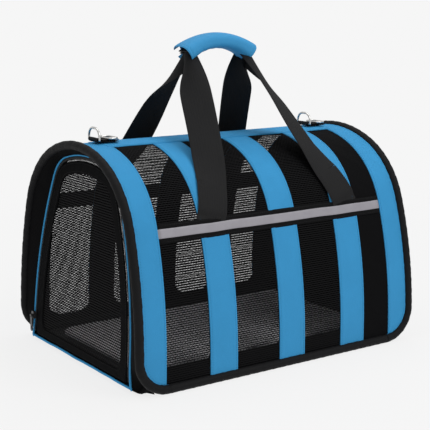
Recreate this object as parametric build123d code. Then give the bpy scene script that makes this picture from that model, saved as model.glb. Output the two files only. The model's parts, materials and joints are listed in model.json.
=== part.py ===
from build123d import *
from math import asin, cos, degrees, radians, sin, sqrt, tan
import os

# Soft-sided pet carrier: an arched saddle of mesh and fabric over a flat base, a mesh door
# in the -X end, a closed +X end and two webbing handles gathered in a padded grip.
# Millimetres, +Z up, origin at the bottom centre, -Y is the front long side.

# --- Driving dimensions ---------------------------------------------------------------
LENGTH = 455.0              # over the two arch welts
WALL_HALF_WIDTH = 160.0     # outer face of the mesh walls
DOME_HEIGHT = 291.0         # outer face of the mesh at the ridge
SKIRT_HEIGHT = 40.0         # straight upright part of the walls
SHOULDER_RADIUS = 120.5     # arch: crown, shoulder and side arcs, tangent to each other
CROWN_ANGLE = 25.0          # wall normal's angle from vertical where the crown arc ends
SHOULDER_ANGLE = 73.1       # and where the shoulder arc ends
END_LEAN = 1.2              # both arch welts lean inwards, degrees
CORNER_RADIUS = 47.0        # rounded lower corners of the saddle, seen from the side

WELT_DIAMETER = 12.0        # padded border
WIRE_DIAMETER = 3.0         # spring-steel frame wire in the arch welts
SEAM_GAP = 0.2              # clearance between sewn neighbours

MESH_THICKNESS = 1.2
SKIN = 0.9                  # stripes and bands
LAYER_GAP = 0.15            # clearance between cloths sewn one on another
TAPE_THICKNESS = 0.8
REFLECTIVE_THICKNESS = 0.4
FACING_THICKNESS = 0.8
RIDGE_PADDING = 0.6         # the ridge band is this much thicker than the stripes
END_BAND_WIDTH = 32.0
STRIPE_WIDTH = 42.0
STRIPE_CENTRES = {"left": -97.5, "middle": 12.0, "right": 116.5}
RIDGE_HALF_WIDTH = 28.0
TAPE_WIDTH = 24.0           # black tape under the reflective strip
REFLECTIVE_WIDTH = 11.5
TAPE_HEIGHT = 195.0         # centre of the tape above the ground
FACING_TOP = 30.0           # inner facing along the foot of the mesh walls

PANEL_X = 219.8             # distance of each end panel from the centre, at the ground
PANEL_LEAN = 4.0            # the end panels lean inwards more than the welts, degrees
PANEL_HALF_WIDTH = 133.0    # the end panels have a narrower arch of their own, to the piping
PANEL_HEIGHT = 277.5
PANEL_SKIRT_HEIGHT = 30.0
PANEL_SHOULDER_RADIUS = 50.0
PANEL_CROWN_ANGLE = 15.0
PANEL_SHOULDER_ANGLE = 66.0
PANEL_THICKNESS = 2.0
GUSSET_THICKNESS = 1.0
GUSSET_INSET = 7.0          # from the wall's outer face, clear of the welt
GUSSET_DEPTH = 45.0         # longer than it needs to be; the saddle's outline cuts it
PIPING_DIAMETER = 3.0
PIPING_MARGIN = 1.0         # the panel's cloth reaches this far beyond the piping's centre
SILL_HEIGHT = 8.0           # centre of the piping across the foot of an end panel
ZIP_INSET = 3.7             # from the piping's centre to the zip coil's centre
ZIP_COIL_DIAMETER = 2.4
ZIP_TAPE_MARGIN = 2.4       # tape outside the coil's centre
ZIP_TAPE_THICKNESS = 0.8
DOOR_INSET = 7.5            # from the piping's centre to the door's edge
DOOR_BORDER_WIDTH = 17.0
DOOR_BORDER_THICKNESS = 1.2
DOOR_MESH_THICKNESS = 1.0
DOOR_GAP = 0.6              # between the zip tape and the door's edge
DOOR_BOTTOM = 11.0          # hinge line of the door above the ground

BASE_THICKNESS = 2.0
LIP_LENGTH = 12.4           # length of the base cloth's turned-up ends
BOARD_THICKNESS = 4.0
BOARD_HALF_LENGTH = 196.0
BOARD_HALF_WIDTH = 146.0
PAD_THICKNESS = 15.0
PAD_HALF_LENGTH = 194.0
PAD_HALF_WIDTH = 112.0

WEBBING_WIDTH = 42.0
WEBBING_THICKNESS = 1.8
LEG_TAPE_X = {"left": -101.0, "right": 121.0}      # where the handle webbing meets the tape
LEG_RELEASE_X = {"left": -84.5, "right": 104.0}    # where it leaves the dome
LEG_RELEASE_HEIGHT = 246.0
LEG_TOP = (53.0, 6.5, 393.0)                       # where it enters the grip
GRIP_HALF_LENGTH = 53.5
GRIP_MID_HEIGHT = 420.0
GRIP_END_HEIGHT = 403.0
GRIP_WIDTH = 36.0
GRIP_DEPTH = 20.0
GRIP_WALL = 3.0
GRIP_WEBBING_WIDTH = 26.0
CLOSURE_THICKNESS = 1.2

TAB_WIDTH = 24.0
TAB_LENGTH = 30.0
TAB_THICKNESS = 2.4
TAB_LOOP_RADIUS = 3.3
TAB_OUTER_END = {"left": -190.0, "right": 157.0}
RING_WIRE = 3.0
RING_WIDTH = 31.0
RING_DEPTH = 15.0
KEEPER_WIRE = 2.6

SLIDER_HEIGHT = 38.0
SLIDER_SIZE = (3.6, 7.0, 11.0)      # depth, width, height
SLIDER_CLEARANCE = 1.3      # from the coil to the slider's back
PULL_PIN_DEPTH = 1.9        # pull's pin in front of the slider's face
PULL_LENGTH = 23.0
PULL_WIDTH = 6.0
PULL_THICKNESS = 1.2
BRIDGE_WIDTH = 3.0

PRISM_DEPTH = 500.0         # long enough to pass right through the carrier

os.makedirs("parts", exist_ok=True)


def save(shape, name):
    """Write one node."""
    export_step(shape, f"parts/{name}.step")


# --- The arches -----------------------------------------------------------------------
class Arch:
    """Half of a symmetric arch: crown, shoulder and side arcs, tangent, above a skirt."""

    def __init__(self, half_width, height, skirt, shoulder_radius, crown_angle, shoulder_angle):
        self.half_width = half_width
        self.height = height
        self.skirt = skirt
        self.shoulder_radius = shoulder_radius
        self.crown_angle = crown_angle
        self.shoulder_angle = shoulder_angle
        self.crown_radius, self.side_radius = self.solve_radii()

    def solve_radii(self):
        """Crown and side radii that bring the arcs from the ridge to the skirt."""
        s1, c1 = sin(radians(self.crown_angle)), cos(radians(self.crown_angle))
        s2, c2 = sin(radians(self.shoulder_angle)), cos(radians(self.shoulder_angle))
        across = self.half_width - self.shoulder_radius * (s2 - s1)
        down = self.height - self.skirt - self.shoulder_radius * (c1 - c2)
        determinant = s1 * c2 - (1 - s2) * (1 - c1)
        crown = (across * c2 - down * (1 - s2)) / determinant
        side = (down * s1 - across * (1 - c1)) / determinant
        return crown, side

    def point(self, angle, offset=0.0):
        """(y, z) where the arch's outward normal is at this angle from vertical, y >= 0."""
        crown = min(angle, self.crown_angle)
        shoulder = min(max(angle, self.crown_angle), self.shoulder_angle)
        side = max(angle, self.shoulder_angle)
        y, z = 0.0, self.height
        spans = (
            (self.crown_radius, 0.0, crown),
            (self.shoulder_radius, self.crown_angle, shoulder),
            (self.side_radius, self.shoulder_angle, side),
        )
        for radius, start, end in spans:
            y += radius * (sin(radians(end)) - sin(radians(start)))
            z += radius * (cos(radians(end)) - cos(radians(start)))
        return y + offset * sin(radians(angle)), z + offset * cos(radians(angle))

    def arcs(self, offset, foot, top_angle=0.0):
        """Edges from the foot up to a normal angle, as local (y, z)."""
        width = self.half_width + offset
        edges = [Line((width, foot), (width, self.skirt))]
        stations = [90.0, self.shoulder_angle, self.crown_angle, top_angle]
        for lower, upper in zip(stations, stations[1:]):
            if lower <= top_angle:
                break
            upper = max(upper, top_angle)
            middle = (lower + upper) / 2
            points = [self.point(angle, offset) for angle in (lower, middle, upper)]
            edges.append(ThreePointArc(*points))
        return edges


WALL = Arch(WALL_HALF_WIDTH, DOME_HEIGHT, SKIRT_HEIGHT, SHOULDER_RADIUS, CROWN_ANGLE,
            SHOULDER_ANGLE)
PANEL = Arch(PANEL_HALF_WIDTH, PANEL_HEIGHT, PANEL_SKIRT_HEIGHT, PANEL_SHOULDER_RADIUS,
             PANEL_CROWN_ANGLE, PANEL_SHOULDER_ANGLE)


def mirrored(edges):
    """The same edges on the other side of the arch, in reverse order."""
    return [edge.mirror(Plane.YZ) for edge in reversed(edges)]


def half_shell(x_low, x_high, inner, outer, top_angle=0.0, foot=0.0):
    """Curved sheet over the +Y half of the arch, between two offsets of its outer face."""
    rim = WALL.arcs(outer, foot, top_angle) + WALL.arcs(inner, foot, top_angle)
    top = Line(WALL.point(top_angle, inner), WALL.point(top_angle, outer))
    bottom = Line((WALL_HALF_WIDTH + inner, foot), (WALL_HALF_WIDTH + outer, foot))
    face = make_face(rim + [top, bottom])
    return Pos(x_low, 0, 0) * extrude(Plane.YZ * face, x_high - x_low)


def full_shell(x_low, x_high, inner, outer, foot=0.0):
    """Curved sheet over the whole arch."""
    edges = []
    for offset in (outer, inner):
        half = WALL.arcs(offset, foot)
        edges += half + mirrored(half)
    for side in (-1, 1):
        edges.append(Line(
            (side * (WALL_HALF_WIDTH + inner), foot), (side * (WALL_HALF_WIDTH + outer), foot)))
    face = make_face(edges)
    return Pos(x_low, 0, 0) * extrude(Plane.YZ * face, x_high - x_low)


def arch_face(arch, inset, foot):
    """Flat face inside an arch, this far within its line, as local (y, z)."""
    half = arch.arcs(-inset, foot)
    width = arch.half_width - inset
    return make_face(half + mirrored(half) + [Line((-width, foot), (width, foot))])


def front(shape):
    """Mirror a +Y piece to the front, -Y, side."""
    return mirror(shape, Plane.XZ)


# --- The saddle's outline, seen from the side -----------------------------------------
END_X = LENGTH / 2 + CORNER_RADIUS * tan(radians(END_LEAN))


def end_x(height, inset=0.0):
    """Half length of the leaning outline at a height, less an inset square to its edge."""
    lean = radians(END_LEAN)
    return END_X - height * tan(lean) - inset / cos(lean)


def outline_prism(inset):
    """Everything inside the saddle's side outline, less an inset, right through along Y."""
    top = DOME_HEIGHT + 60
    face = make_face(Polyline(
        (-end_x(inset, inset), inset), (end_x(inset, inset), inset),
        (end_x(top, inset), top), (-end_x(top, inset), top), close=True))
    corners = face.vertices().sort_by(Axis.Y)[:2]
    face = fillet(corners, CORNER_RADIUS - inset)
    return extrude(Plane.XZ * face, PRISM_DEPTH / 2, both=True)


def x_slab(low, high, lean_low=0, lean_high=0):
    """Space between two end planes; a lean of -1 or 1 tilts that plane with its end."""
    top = DOME_HEIGHT + 60
    shift = top * tan(radians(END_LEAN))
    face = make_face(Polyline(
        (low, 0), (high, 0), (high + lean_high * shift, top), (low + lean_low * shift, top),
        close=True))
    return extrude(Plane.XZ * face, PRISM_DEPTH / 2, both=True)


def z_slab(low, high):
    """Space between two heights."""
    return Pos(0, 0, (low + high) / 2) * Box(PRISM_DEPTH * 2, PRISM_DEPTH * 2, high - low)


BAND_INSET = WELT_DIAMETER + SEAM_GAP       # the saddle's cloth stops at the welt


def on_saddle(shape):
    """Cut a piece of the saddle to its rounded outline."""
    return shape & outline_prism(BAND_INSET)


# --- Welts, frame wires and piping ----------------------------------------------------
def lean_transform(side, x_base, lean):
    """Put a shape drawn in the YZ plane into the leaning plane that meets the ground at x."""
    return Pos(side * x_base, 0, 0) * Rot(0, -side * lean, 0)


def arch_wire(arch, inset, foot):
    """Open path of arcs over an arch in the YZ plane, from front foot to back foot."""
    half = arch.arcs(-inset, foot)
    return [Plane.YZ * edge for edge in half + mirrored(half)]


def corner_arc(sign, inset):
    """Bend from the +X end of a bottom run up to the arch, in the wall's plane."""
    lean = radians(END_LEAN)
    radius = CORNER_RADIUS - inset
    centre_z = inset + radius
    centre_x = end_x(centre_z, inset) - radius / cos(lean)
    points = [
        (centre_x + radius * cos(a), sign * WALL_HALF_WIDTH, centre_z + radius * sin(a))
        for a in (radians(-90), (radians(-90) + lean) / 2, lean)
    ]
    return ThreePointArc(*points), points[0][0], points[2][2]


def tube(path_edges, radius):
    """Round solid along a chain of tangent edges."""
    path = Wire(path_edges)
    section = Plane(path @ 0, z_dir=path % 0) * Circle(radius)
    return sweep(section, path=path)


def arch_welt_path():
    """Bend, arch and bend at the +X end, as one chain."""
    inset = WELT_DIAMETER / 2
    front_bend, _, foot_height = corner_arc(-1, inset)
    back_bend, _, _ = corner_arc(1, inset)
    foot = foot_height / cos(radians(END_LEAN))
    lean = lean_transform(1, end_x(0, inset), END_LEAN)
    arch = [lean * edge for edge in arch_wire(WALL, 0.0, foot)]
    return [front_bend] + arch + [back_bend]


def arch_welt_and_wire():
    """Right arch welt, hollow for its frame wire, and the wire."""
    path = arch_welt_path()
    bore = tube(path, WIRE_DIAMETER / 2 + 0.1)
    welt = tube(path, WELT_DIAMETER / 2) - bore
    wire = tube(path, WIRE_DIAMETER / 2)
    return welt, wire


def bottom_welt():
    """Straight run along the back bottom edge, between the two bends."""
    _, x_end, _ = corner_arc(1, WELT_DIAMETER / 2)
    run = Cylinder(WELT_DIAMETER / 2, 2 * x_end - 2 * SEAM_GAP, rotation=(0, 90, 0))
    return Pos(0, WALL_HALF_WIDTH, WELT_DIAMETER / 2) * run


def end_piping(side):
    """Piping round an end panel: over the arch and across the foot."""
    radius = PIPING_DIAMETER / 2
    arch = tube(arch_wire(PANEL, 0.0, SILL_HEIGHT + radius + SEAM_GAP), radius)
    sill_length = 2 * PANEL_HALF_WIDTH + PIPING_DIAMETER
    sill = Pos(0, 0, SILL_HEIGHT) * Cylinder(radius, sill_length, rotation=(90, 0, 0))
    lean = lean_transform(side, PANEL_X + radius, PANEL_LEAN)
    return Compound([lean * arch, Pos(side * (PANEL_X + radius + 0.3), 0, 0) * sill])


def gusset():
    """Fabric return between the +X arch welt and its end panel: a flat ring and a sleeve."""
    foot = BASE_THICKNESS + SEAM_GAP
    ring = end_plate(WALL, GUSSET_INSET, foot, GUSSET_THICKNESS)
    ring -= end_plate(PANEL, -PIPING_MARGIN, 0.0, GUSSET_THICKNESS)
    ring = lean_transform(1, PANEL_X - GUSSET_THICKNESS, PANEL_LEAN) * ring
    sleeve = end_plate(WALL, GUSSET_INSET, foot, GUSSET_DEPTH)
    sleeve -= end_plate(WALL, GUSSET_INSET + GUSSET_THICKNESS, foot, GUSSET_DEPTH)
    sleeve = lean_transform(1, PANEL_X + SEAM_GAP, PANEL_LEAN) * sleeve
    sleeve = sleeve & outline_prism(WELT_DIAMETER / 2)
    return Compound([ring.solid(), sleeve.solid()])


# --- Walls ----------------------------------------------------------------------------
def ridge_angle(half_width, offset=0.0):
    """Normal angle of the crown at this distance from the ridge's centre."""
    return degrees(asin(half_width / (WALL.crown_radius + offset)))


def wall(inner, outer, x_low, x_high, top_angle, foot=0.0):
    """A back-wall sheet cut to the saddle's outline."""
    return on_saddle(half_shell(x_low, x_high, inner, outer, top_angle, foot))


def mesh_wall():
    """Mesh from the foot to the ridge, one side."""
    return wall(-MESH_THICKNESS, 0.0, -LENGTH, LENGTH, 0.15, WELT_DIAMETER + SEAM_GAP)


SKIN_IN = LAYER_GAP
SKIN_OUT = SKIN_IN + SKIN
TAPE_IN = SKIN_OUT + LAYER_GAP
TAPE_OUT = TAPE_IN + TAPE_THICKNESS
STRIP_OUT = TAPE_OUT + LAYER_GAP + REFLECTIVE_THICKNESS
SKIN_TOP_ANGLE = ridge_angle(RIDGE_HALF_WIDTH) + 0.4


def end_band():
    """Blue band over the whole arch beside the +X welt."""
    band = on_saddle(full_shell(-LENGTH, LENGTH, SKIN_IN, SKIN_OUT))
    inner_edge = end_x(0, BAND_INSET) - END_BAND_WIDTH
    return band & x_slab(inner_edge, LENGTH, lean_low=-1)


def stripe(centre):
    low, high = centre - STRIPE_WIDTH / 2, centre + STRIPE_WIDTH / 2
    return wall(SKIN_IN, SKIN_OUT, low, high, SKIN_TOP_ANGLE)


def solid_panel():
    """Opaque fabric between the right stripe and the right end band."""
    low = STRIPE_CENTRES["right"] + STRIPE_WIDTH / 2 + SEAM_GAP
    inner_edge = end_x(0, BAND_INSET) - END_BAND_WIDTH - SEAM_GAP
    panel = wall(SKIN_IN, SKIN_OUT, low, LENGTH, SKIN_TOP_ANGLE)
    return panel & x_slab(0, inner_edge, lean_high=-1)


def ridge_band():
    """Blue band along the top, between the end bands."""
    arch = full_shell(-LENGTH, LENGTH, SKIN_IN, SKIN_OUT + RIDGE_PADDING)
    inner_edge = end_x(0, BAND_INSET) - END_BAND_WIDTH - SEAM_GAP
    keep = x_slab(-inner_edge, inner_edge, lean_low=1, lean_high=-1)
    core = Pos(0, 0, DOME_HEIGHT) * Box(LENGTH, 2 * RIDGE_HALF_WIDTH, 60)
    return arch & keep & core


def tape(inner, outer, width):
    """Level tape along one wall, from end band to end band."""
    inner_edge = end_x(0, BAND_INSET) - END_BAND_WIDTH + 1.0
    sheet = wall(inner, outer, -LENGTH, LENGTH, 20.0)
    keep = x_slab(-inner_edge, inner_edge, lean_low=1, lean_high=-1)
    return sheet & keep & z_slab(TAPE_HEIGHT - width / 2, TAPE_HEIGHT + width / 2)


def inner_facing():
    """Cloth along the foot of the mesh, on the inside."""
    outer = -MESH_THICKNESS - SEAM_GAP
    sheet = wall(outer - FACING_THICKNESS, outer, -LENGTH, LENGTH, 20.0)
    keep = x_slab(-PANEL_X + 4, PANEL_X - 4, lean_low=1, lean_high=-1)
    return sheet & keep & z_slab(WELT_DIAMETER + SEAM_GAP, FACING_TOP)


# --- Base -----------------------------------------------------------------------------
def rounded_sheet(half_length, half_width, low, thickness, radius):
    face = RectangleRounded(2 * half_length, 2 * half_width, radius)
    return Pos(0, 0, low) * extrude(face, thickness)


def base_fabric():
    """Cloth under the board, turned up at both ends to meet the end panels' sills."""
    half_width = WALL_HALF_WIDTH - WELT_DIAMETER / 2 - 0.4
    flat_end = PANEL_X - LIP_LENGTH
    sheet = rounded_sheet(flat_end, half_width, 0.0, BASE_THICKNESS, 6)
    lip_end = PANEL_X - 0.1
    lip_z = SILL_HEIGHT - PIPING_DIAMETER / 2
    profile = make_face(Polyline(
        (flat_end - 8, 0), (flat_end + 2, 0), (lip_end, lip_z - 1.0), (lip_end, lip_z + 0.8),
        (flat_end, BASE_THICKNESS), (flat_end - 8, BASE_THICKNESS), close=True))
    lip = extrude(Plane.XZ * profile, PANEL_HALF_WIDTH - SEAM_GAP, both=True)
    return sheet + lip + mirror(lip, Plane.YZ)


def base_board():
    low = BASE_THICKNESS + SEAM_GAP
    return rounded_sheet(BOARD_HALF_LENGTH, BOARD_HALF_WIDTH, low, BOARD_THICKNESS, 12)


def floor_pad():
    low = BASE_THICKNESS + BOARD_THICKNESS + 2 * SEAM_GAP
    pad = rounded_sheet(PAD_HALF_LENGTH, PAD_HALF_WIDTH, low, PAD_THICKNESS, 14)
    return fillet(pad.faces().sort_by(Axis.Z)[-1].edges(), 5)


# --- Ends -----------------------------------------------------------------------------
def end_plate(arch, inset, foot, thickness):
    """Flat arch-shaped plate standing on the YZ plane, growing towards +X."""
    return extrude(Plane.YZ * arch_face(arch, inset, foot), thickness)


def panel_ring(inset, foot, width, sill, thickness):
    """Border of an end panel's plate: over the arch and along the foot."""
    hole = Plane.YZ * arch_face(PANEL, inset + width, foot + sill)
    return end_plate(PANEL, inset, foot, thickness) - extrude(hole, thickness)


def right_end_panel():
    plate = end_plate(PANEL, SEAM_GAP - PIPING_MARGIN, SILL_HEIGHT, PANEL_THICKNESS)
    return lean_transform(1, PANEL_X - 0.2 - PANEL_THICKNESS, PANEL_LEAN) * plate


def door_zip_tape():
    """Half of the zip tape, sewn to the carrier round the door's arch."""
    tape_inset = ZIP_INSET - ZIP_TAPE_MARGIN
    inner_edge = DOOR_INSET - DOOR_GAP
    width = inner_edge - tape_inset
    ring = panel_ring(tape_inset, DOOR_BOTTOM + 1, width, 0.0, ZIP_TAPE_THICKNESS)
    ring = ring - Box(50, 2 * (PANEL_HALF_WIDTH - inner_edge), 2 * DOOR_BOTTOM + 10)
    return lean_transform(-1, PANEL_X, PANEL_LEAN) * ring


def door_zip_coil():
    path = arch_wire(PANEL, ZIP_INSET, DOOR_BOTTOM + 3)
    coil = tube(path, ZIP_COIL_DIAMETER / 2)
    return lean_transform(-1, PANEL_X + ZIP_COIL_DIAMETER / 2 + 0.1, PANEL_LEAN) * coil


def door_mesh():
    """The door's mesh, full size of the door."""
    plate = end_plate(PANEL, DOOR_INSET, DOOR_BOTTOM, DOOR_MESH_THICKNESS)
    return lean_transform(-1, PANEL_X + DOOR_MESH_THICKNESS, PANEL_LEAN) * plate


def door_border():
    """Fabric border sewn over the mesh's edge, on the outside."""
    width, thickness = DOOR_BORDER_WIDTH, DOOR_BORDER_THICKNESS
    ring = panel_ring(DOOR_INSET, DOOR_BOTTOM, width, width, thickness)
    x = PANEL_X + DOOR_MESH_THICKNESS + thickness + 0.1
    return lean_transform(-1, x, PANEL_LEAN) * ring


def slider_place():
    """Centre of the slider, in front of the coil at the back foot of the door."""
    plane_x = PANEL_X - SLIDER_HEIGHT * tan(radians(PANEL_LEAN))
    x = plane_x + ZIP_COIL_DIAMETER + SLIDER_CLEARANCE + SLIDER_SIZE[0] / 2
    return Pos(-x, PANEL_HALF_WIDTH - ZIP_INSET + 0.3, SLIDER_HEIGHT)


def pin_place():
    return slider_place() * Pos(-SLIDER_SIZE[0] / 2 - PULL_PIN_DEPTH, 0, 0)


def zip_slider():
    """Slider body on the zip coil, with the bridge that holds the pull's pin."""
    depth, width, height = SLIDER_SIZE
    body = Box(depth, width, height)
    body = fillet(body.edges().filter_by(Axis.X), 2.2)
    bridge_depth = PULL_PIN_DEPTH + 1.3
    bridge = Pos(-(depth + bridge_depth) / 2, 0, 0) * Box(bridge_depth, BRIDGE_WIDTH, 3.0)
    eye = Cylinder(0.85, PULL_WIDTH, rotation=(90, 0, 0))
    return slider_place() * (body + bridge) - pin_place() * eye


def zip_pull():
    """Flat pull hanging against the door, forked round the bridge with a pin across."""
    fork_gap = BRIDGE_WIDTH + 0.4
    cheek_width = (PULL_WIDTH - fork_gap) / 2
    blade_top = 2.4
    blade_height = PULL_LENGTH - blade_top
    blade = Box(PULL_THICKNESS, PULL_WIDTH, blade_height)
    blade = fillet(blade.edges().filter_by(Axis.X).sort_by(Axis.Z)[:2], 2.6)
    pull = Pos(0, 0, -blade_top - blade_height / 2) * blade
    pull -= Pos(0, 0, -PULL_LENGTH + 5.5) * Box(PULL_THICKNESS * 2, 2.4, 5.0)
    for side in (-1, 1):
        y = side * (fork_gap + cheek_width) / 2
        pull += Pos(0, y, -blade_top / 2) * Box(PULL_THICKNESS, cheek_width, blade_top + 0.02)
        pull += Pos(0, y, 0) * Cylinder(1.2, cheek_width, rotation=(90, 0, 0))
    pull += Cylinder(0.75, fork_gap + cheek_width, rotation=(90, 0, 0))
    return pin_place() * pull


# --- Handles --------------------------------------------------------------------------
def release_angle():
    """Normal angle where the webbing leaves the dome."""
    angle = CROWN_ANGLE
    while WALL.point(angle)[1] > LEG_RELEASE_HEIGHT:
        angle += 0.1
    return angle


def handle_anchor(side_name):
    """Webbing sewn down over the stripe, slanting from the tape up to where it leaves the dome."""
    foot, top = LEG_TAPE_X[side_name], LEG_RELEASE_X[side_name]
    half, reach = WEBBING_WIDTH / 2, abs(top - foot)
    low_z, high_z = TAPE_HEIGHT + TAPE_WIDTH / 2 + SEAM_GAP, LEG_RELEASE_HEIGHT + 2
    middle = (foot + top) / 2
    span = half + reach
    sheet = wall(TAPE_IN, TAPE_IN + WEBBING_THICKNESS, middle - span, middle + span, release_angle())
    outline = make_face(Polyline(
        (foot - half, low_z), (foot + half, low_z), (top + half, high_z), (top - half, high_z),
        close=True))
    return sheet & extrude(Plane.XZ * outline, 2 * WALL_HALF_WIDTH, both=True)


def handle_leg(side_name):
    """Free webbing from the dome up to the grip, back side."""
    side = -1 if side_name == "left" else 1
    y, z = WALL.point(release_angle(), TAPE_IN + 1.5 * WEBBING_THICKNESS + 1.0)
    foot = Vector(LEG_RELEASE_X[side_name], y, z)
    top = Vector(side * LEG_TOP[0], LEG_TOP[1], LEG_TOP[2])
    along = (top - foot).normalized()
    across = (Vector(1, 0, 0) - along * along.X).normalized()
    lower = Plane(foot, x_dir=across, z_dir=along) * Rectangle(WEBBING_WIDTH, WEBBING_THICKNESS)
    upper = Plane(top, x_dir=across, z_dir=along)
    upper = upper * Rectangle(GRIP_WEBBING_WIDTH, WEBBING_THICKNESS)
    return loft([lower, upper])


def grip_arc(half_length):
    """The grip's bent centre line, cut to a half length."""
    sagitta = GRIP_MID_HEIGHT - GRIP_END_HEIGHT
    radius = (GRIP_HALF_LENGTH ** 2 + sagitta ** 2) / (2 * sagitta)
    centre_z = GRIP_MID_HEIGHT - radius
    drop_z = centre_z + sqrt(radius ** 2 - half_length ** 2)
    return ThreePointArc(
        (-half_length, 0, drop_z), (0, 0, GRIP_MID_HEIGHT), (half_length, 0, drop_z))


def along_grip(section, half_length):
    """Sweep a section, wide across Y, along the grip."""
    path = grip_arc(half_length)
    start = Plane(path @ 0, x_dir=(0, 1, 0), z_dir=path % 0)
    return sweep(start * section, path=path)


def grip_wrap():
    """Padded sleeve round both handles."""
    outer = RectangleRounded(GRIP_WIDTH, GRIP_DEPTH, GRIP_DEPTH / 2 - 0.5)
    inner_width, inner_depth = GRIP_WIDTH - 2 * GRIP_WALL, GRIP_DEPTH - 2 * GRIP_WALL
    inner = RectangleRounded(inner_width, inner_depth, inner_depth / 2 - 0.5)
    return along_grip(outer, GRIP_HALF_LENGTH) - along_grip(inner, GRIP_HALF_LENGTH)


def grip_closure():
    """Overlapping flap of the wrap, held by hook-and-loop on the back."""
    level = (GRIP_WIDTH + CLOSURE_THICKNESS) / 2 + 0.3
    flap = Pos(level, 0) * Rectangle(CLOSURE_THICKNESS, GRIP_DEPTH * 0.4)
    return along_grip(flap, GRIP_HALF_LENGTH - 6)


def grip_webbing(level):
    """One handle's webbing inside the grip."""
    band = Pos(0, level) * Rectangle(GRIP_WEBBING_WIDTH, WEBBING_THICKNESS)
    return along_grip(band, GRIP_HALF_LENGTH - 1)


# --- Strap fittings on the ridge ------------------------------------------------------
TAB_LEVEL = DOME_HEIGHT + SKIN_OUT + RIDGE_PADDING + 0.4 + KEEPER_WIRE


def ring_axis(side_name):
    """Where a D-ring turns in its tab: x and z."""
    return TAB_OUTER_END[side_name], TAB_LEVEL + 1.6


def ring_tab(side_name):
    """Webbing tab folded round the D-ring's bar and sewn flat to the ridge."""
    x, z = ring_axis(side_name)
    loop = Cylinder(TAB_LOOP_RADIUS, TAB_WIDTH, rotation=(90, 0, 0))
    tail_drop = z - TAB_LEVEL
    tail = Box(TAB_LENGTH, TAB_WIDTH, TAB_THICKNESS)
    tail = Pos(TAB_LENGTH / 2, 0, -tail_drop + 0.4) * tail
    foot = Pos(TAB_LENGTH - 4, 0, -tail_drop - 1.6) * Box(8, TAB_WIDTH, KEEPER_WIRE)
    bore = Cylinder(RING_WIRE / 2 + 0.1, TAB_WIDTH + 2, rotation=(90, 0, 0))
    return Pos(x, 0, z) * (loop + tail + foot - bore)


def d_ring(side_name):
    """Steel D with its straight bar in the tab, standing up."""
    x, z = ring_axis(side_name)
    half = RING_WIDTH / 2 - RING_WIRE / 2
    outline = FilletPolyline(
        (0, -half, 0), (0, -half, RING_DEPTH), (0, half, RING_DEPTH), (0, half, 0),
        radius=half * 0.8)
    bow = tube(outline.edges(), RING_WIRE / 2)
    bar = Cylinder(RING_WIRE / 2, 2 * half, rotation=(90, 0, 0))
    ends = [Pos(0, s * half, 0) * Sphere(RING_WIRE / 2) for s in (-1, 1)]
    return Pos(x, 0, z) * (bow + bar + ends[0] + ends[1])


def tab_keeper(side_name):
    """Flat oval frame round the tab's inner end."""
    x = TAB_OUTER_END[side_name] + TAB_LENGTH - 9
    path = FilletPolyline(
        (-6.5, -14, 0), (6.5, -14, 0), (6.5, 14, 0), (-6.5, 14, 0), radius=5, close=True)
    frame = tube(path.edges(), KEEPER_WIRE / 2)
    return Pos(x, 0, TAB_LEVEL + 0.4 + 1.2 + KEEPER_WIRE / 2 + 0.1) * frame


# --- Write the nodes ------------------------------------------------------------------
def write_walls():
    back = mesh_wall()
    save(back, "back_mesh_wall")
    save(front(back), "front_mesh_wall")
    save(front(solid_panel()), "front_solid_panel")
    facing = inner_facing()
    save(facing, "back_inner_facing")
    save(front(facing), "front_inner_facing")
    for name, centre in STRIPE_CENTRES.items():
        band = stripe(centre)
        save(band, f"back_{name}_stripe")
        save(front(band), f"front_{name}_stripe")
    save(ridge_band(), "ridge_band")
    backing = tape(TAPE_IN, TAPE_OUT, TAPE_WIDTH)
    reflective = tape(TAPE_OUT + LAYER_GAP, STRIP_OUT, REFLECTIVE_WIDTH)
    save(backing, "back_tape")
    save(front(backing), "front_tape")
    save(reflective, "back_reflective_strip")
    save(front(reflective), "front_reflective_strip")


def write_ends():
    welt, wire = arch_welt_and_wire()
    pairs = {"arch_welt": welt, "frame_wire": wire, "gusset": gusset(), "end_band": end_band()}
    for name, piece in pairs.items():
        save(piece, f"right_{name}")
        save(mirror(piece, Plane.YZ), f"left_{name}")
    save(end_piping(-1), "door_piping")
    save(end_piping(1), "right_end_piping")
    save(right_end_panel(), "right_end_panel")
    save(door_zip_tape(), "door_zip_tape")
    save(door_zip_coil(), "door_zip_coil")
    save(door_mesh(), "door_mesh")
    save(door_border(), "door_border")
    save(zip_slider(), "zip_slider")
    save(zip_pull(), "zip_pull")


def write_base():
    run = bottom_welt()
    save(run, "back_bottom_welt")
    save(front(run), "front_bottom_welt")
    save(base_fabric(), "base_fabric")
    save(base_board(), "base_board")
    save(floor_pad(), "floor_pad")


def write_handles():
    for name in ("left", "right"):
        anchor = handle_anchor(name)
        leg = handle_leg(name)
        save(anchor, f"back_{name}_handle_anchor")
        save(front(anchor), f"front_{name}_handle_anchor")
        save(leg, f"back_{name}_handle_leg")
        save(front(leg), f"front_{name}_handle_leg")
        save(ring_tab(name), f"{name}_ring_tab")
        save(d_ring(name), f"{name}_d_ring")
        save(tab_keeper(name), f"{name}_tab_keeper")
    save(grip_wrap(), "grip_wrap")
    save(grip_closure(), "grip_closure")
    save(grip_webbing(WEBBING_THICKNESS), "grip_webbing_upper")
    save(grip_webbing(-WEBBING_THICKNESS), "grip_webbing_lower")


write_walls()
write_ends()
write_base()
write_handles()
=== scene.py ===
import json
import math

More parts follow.
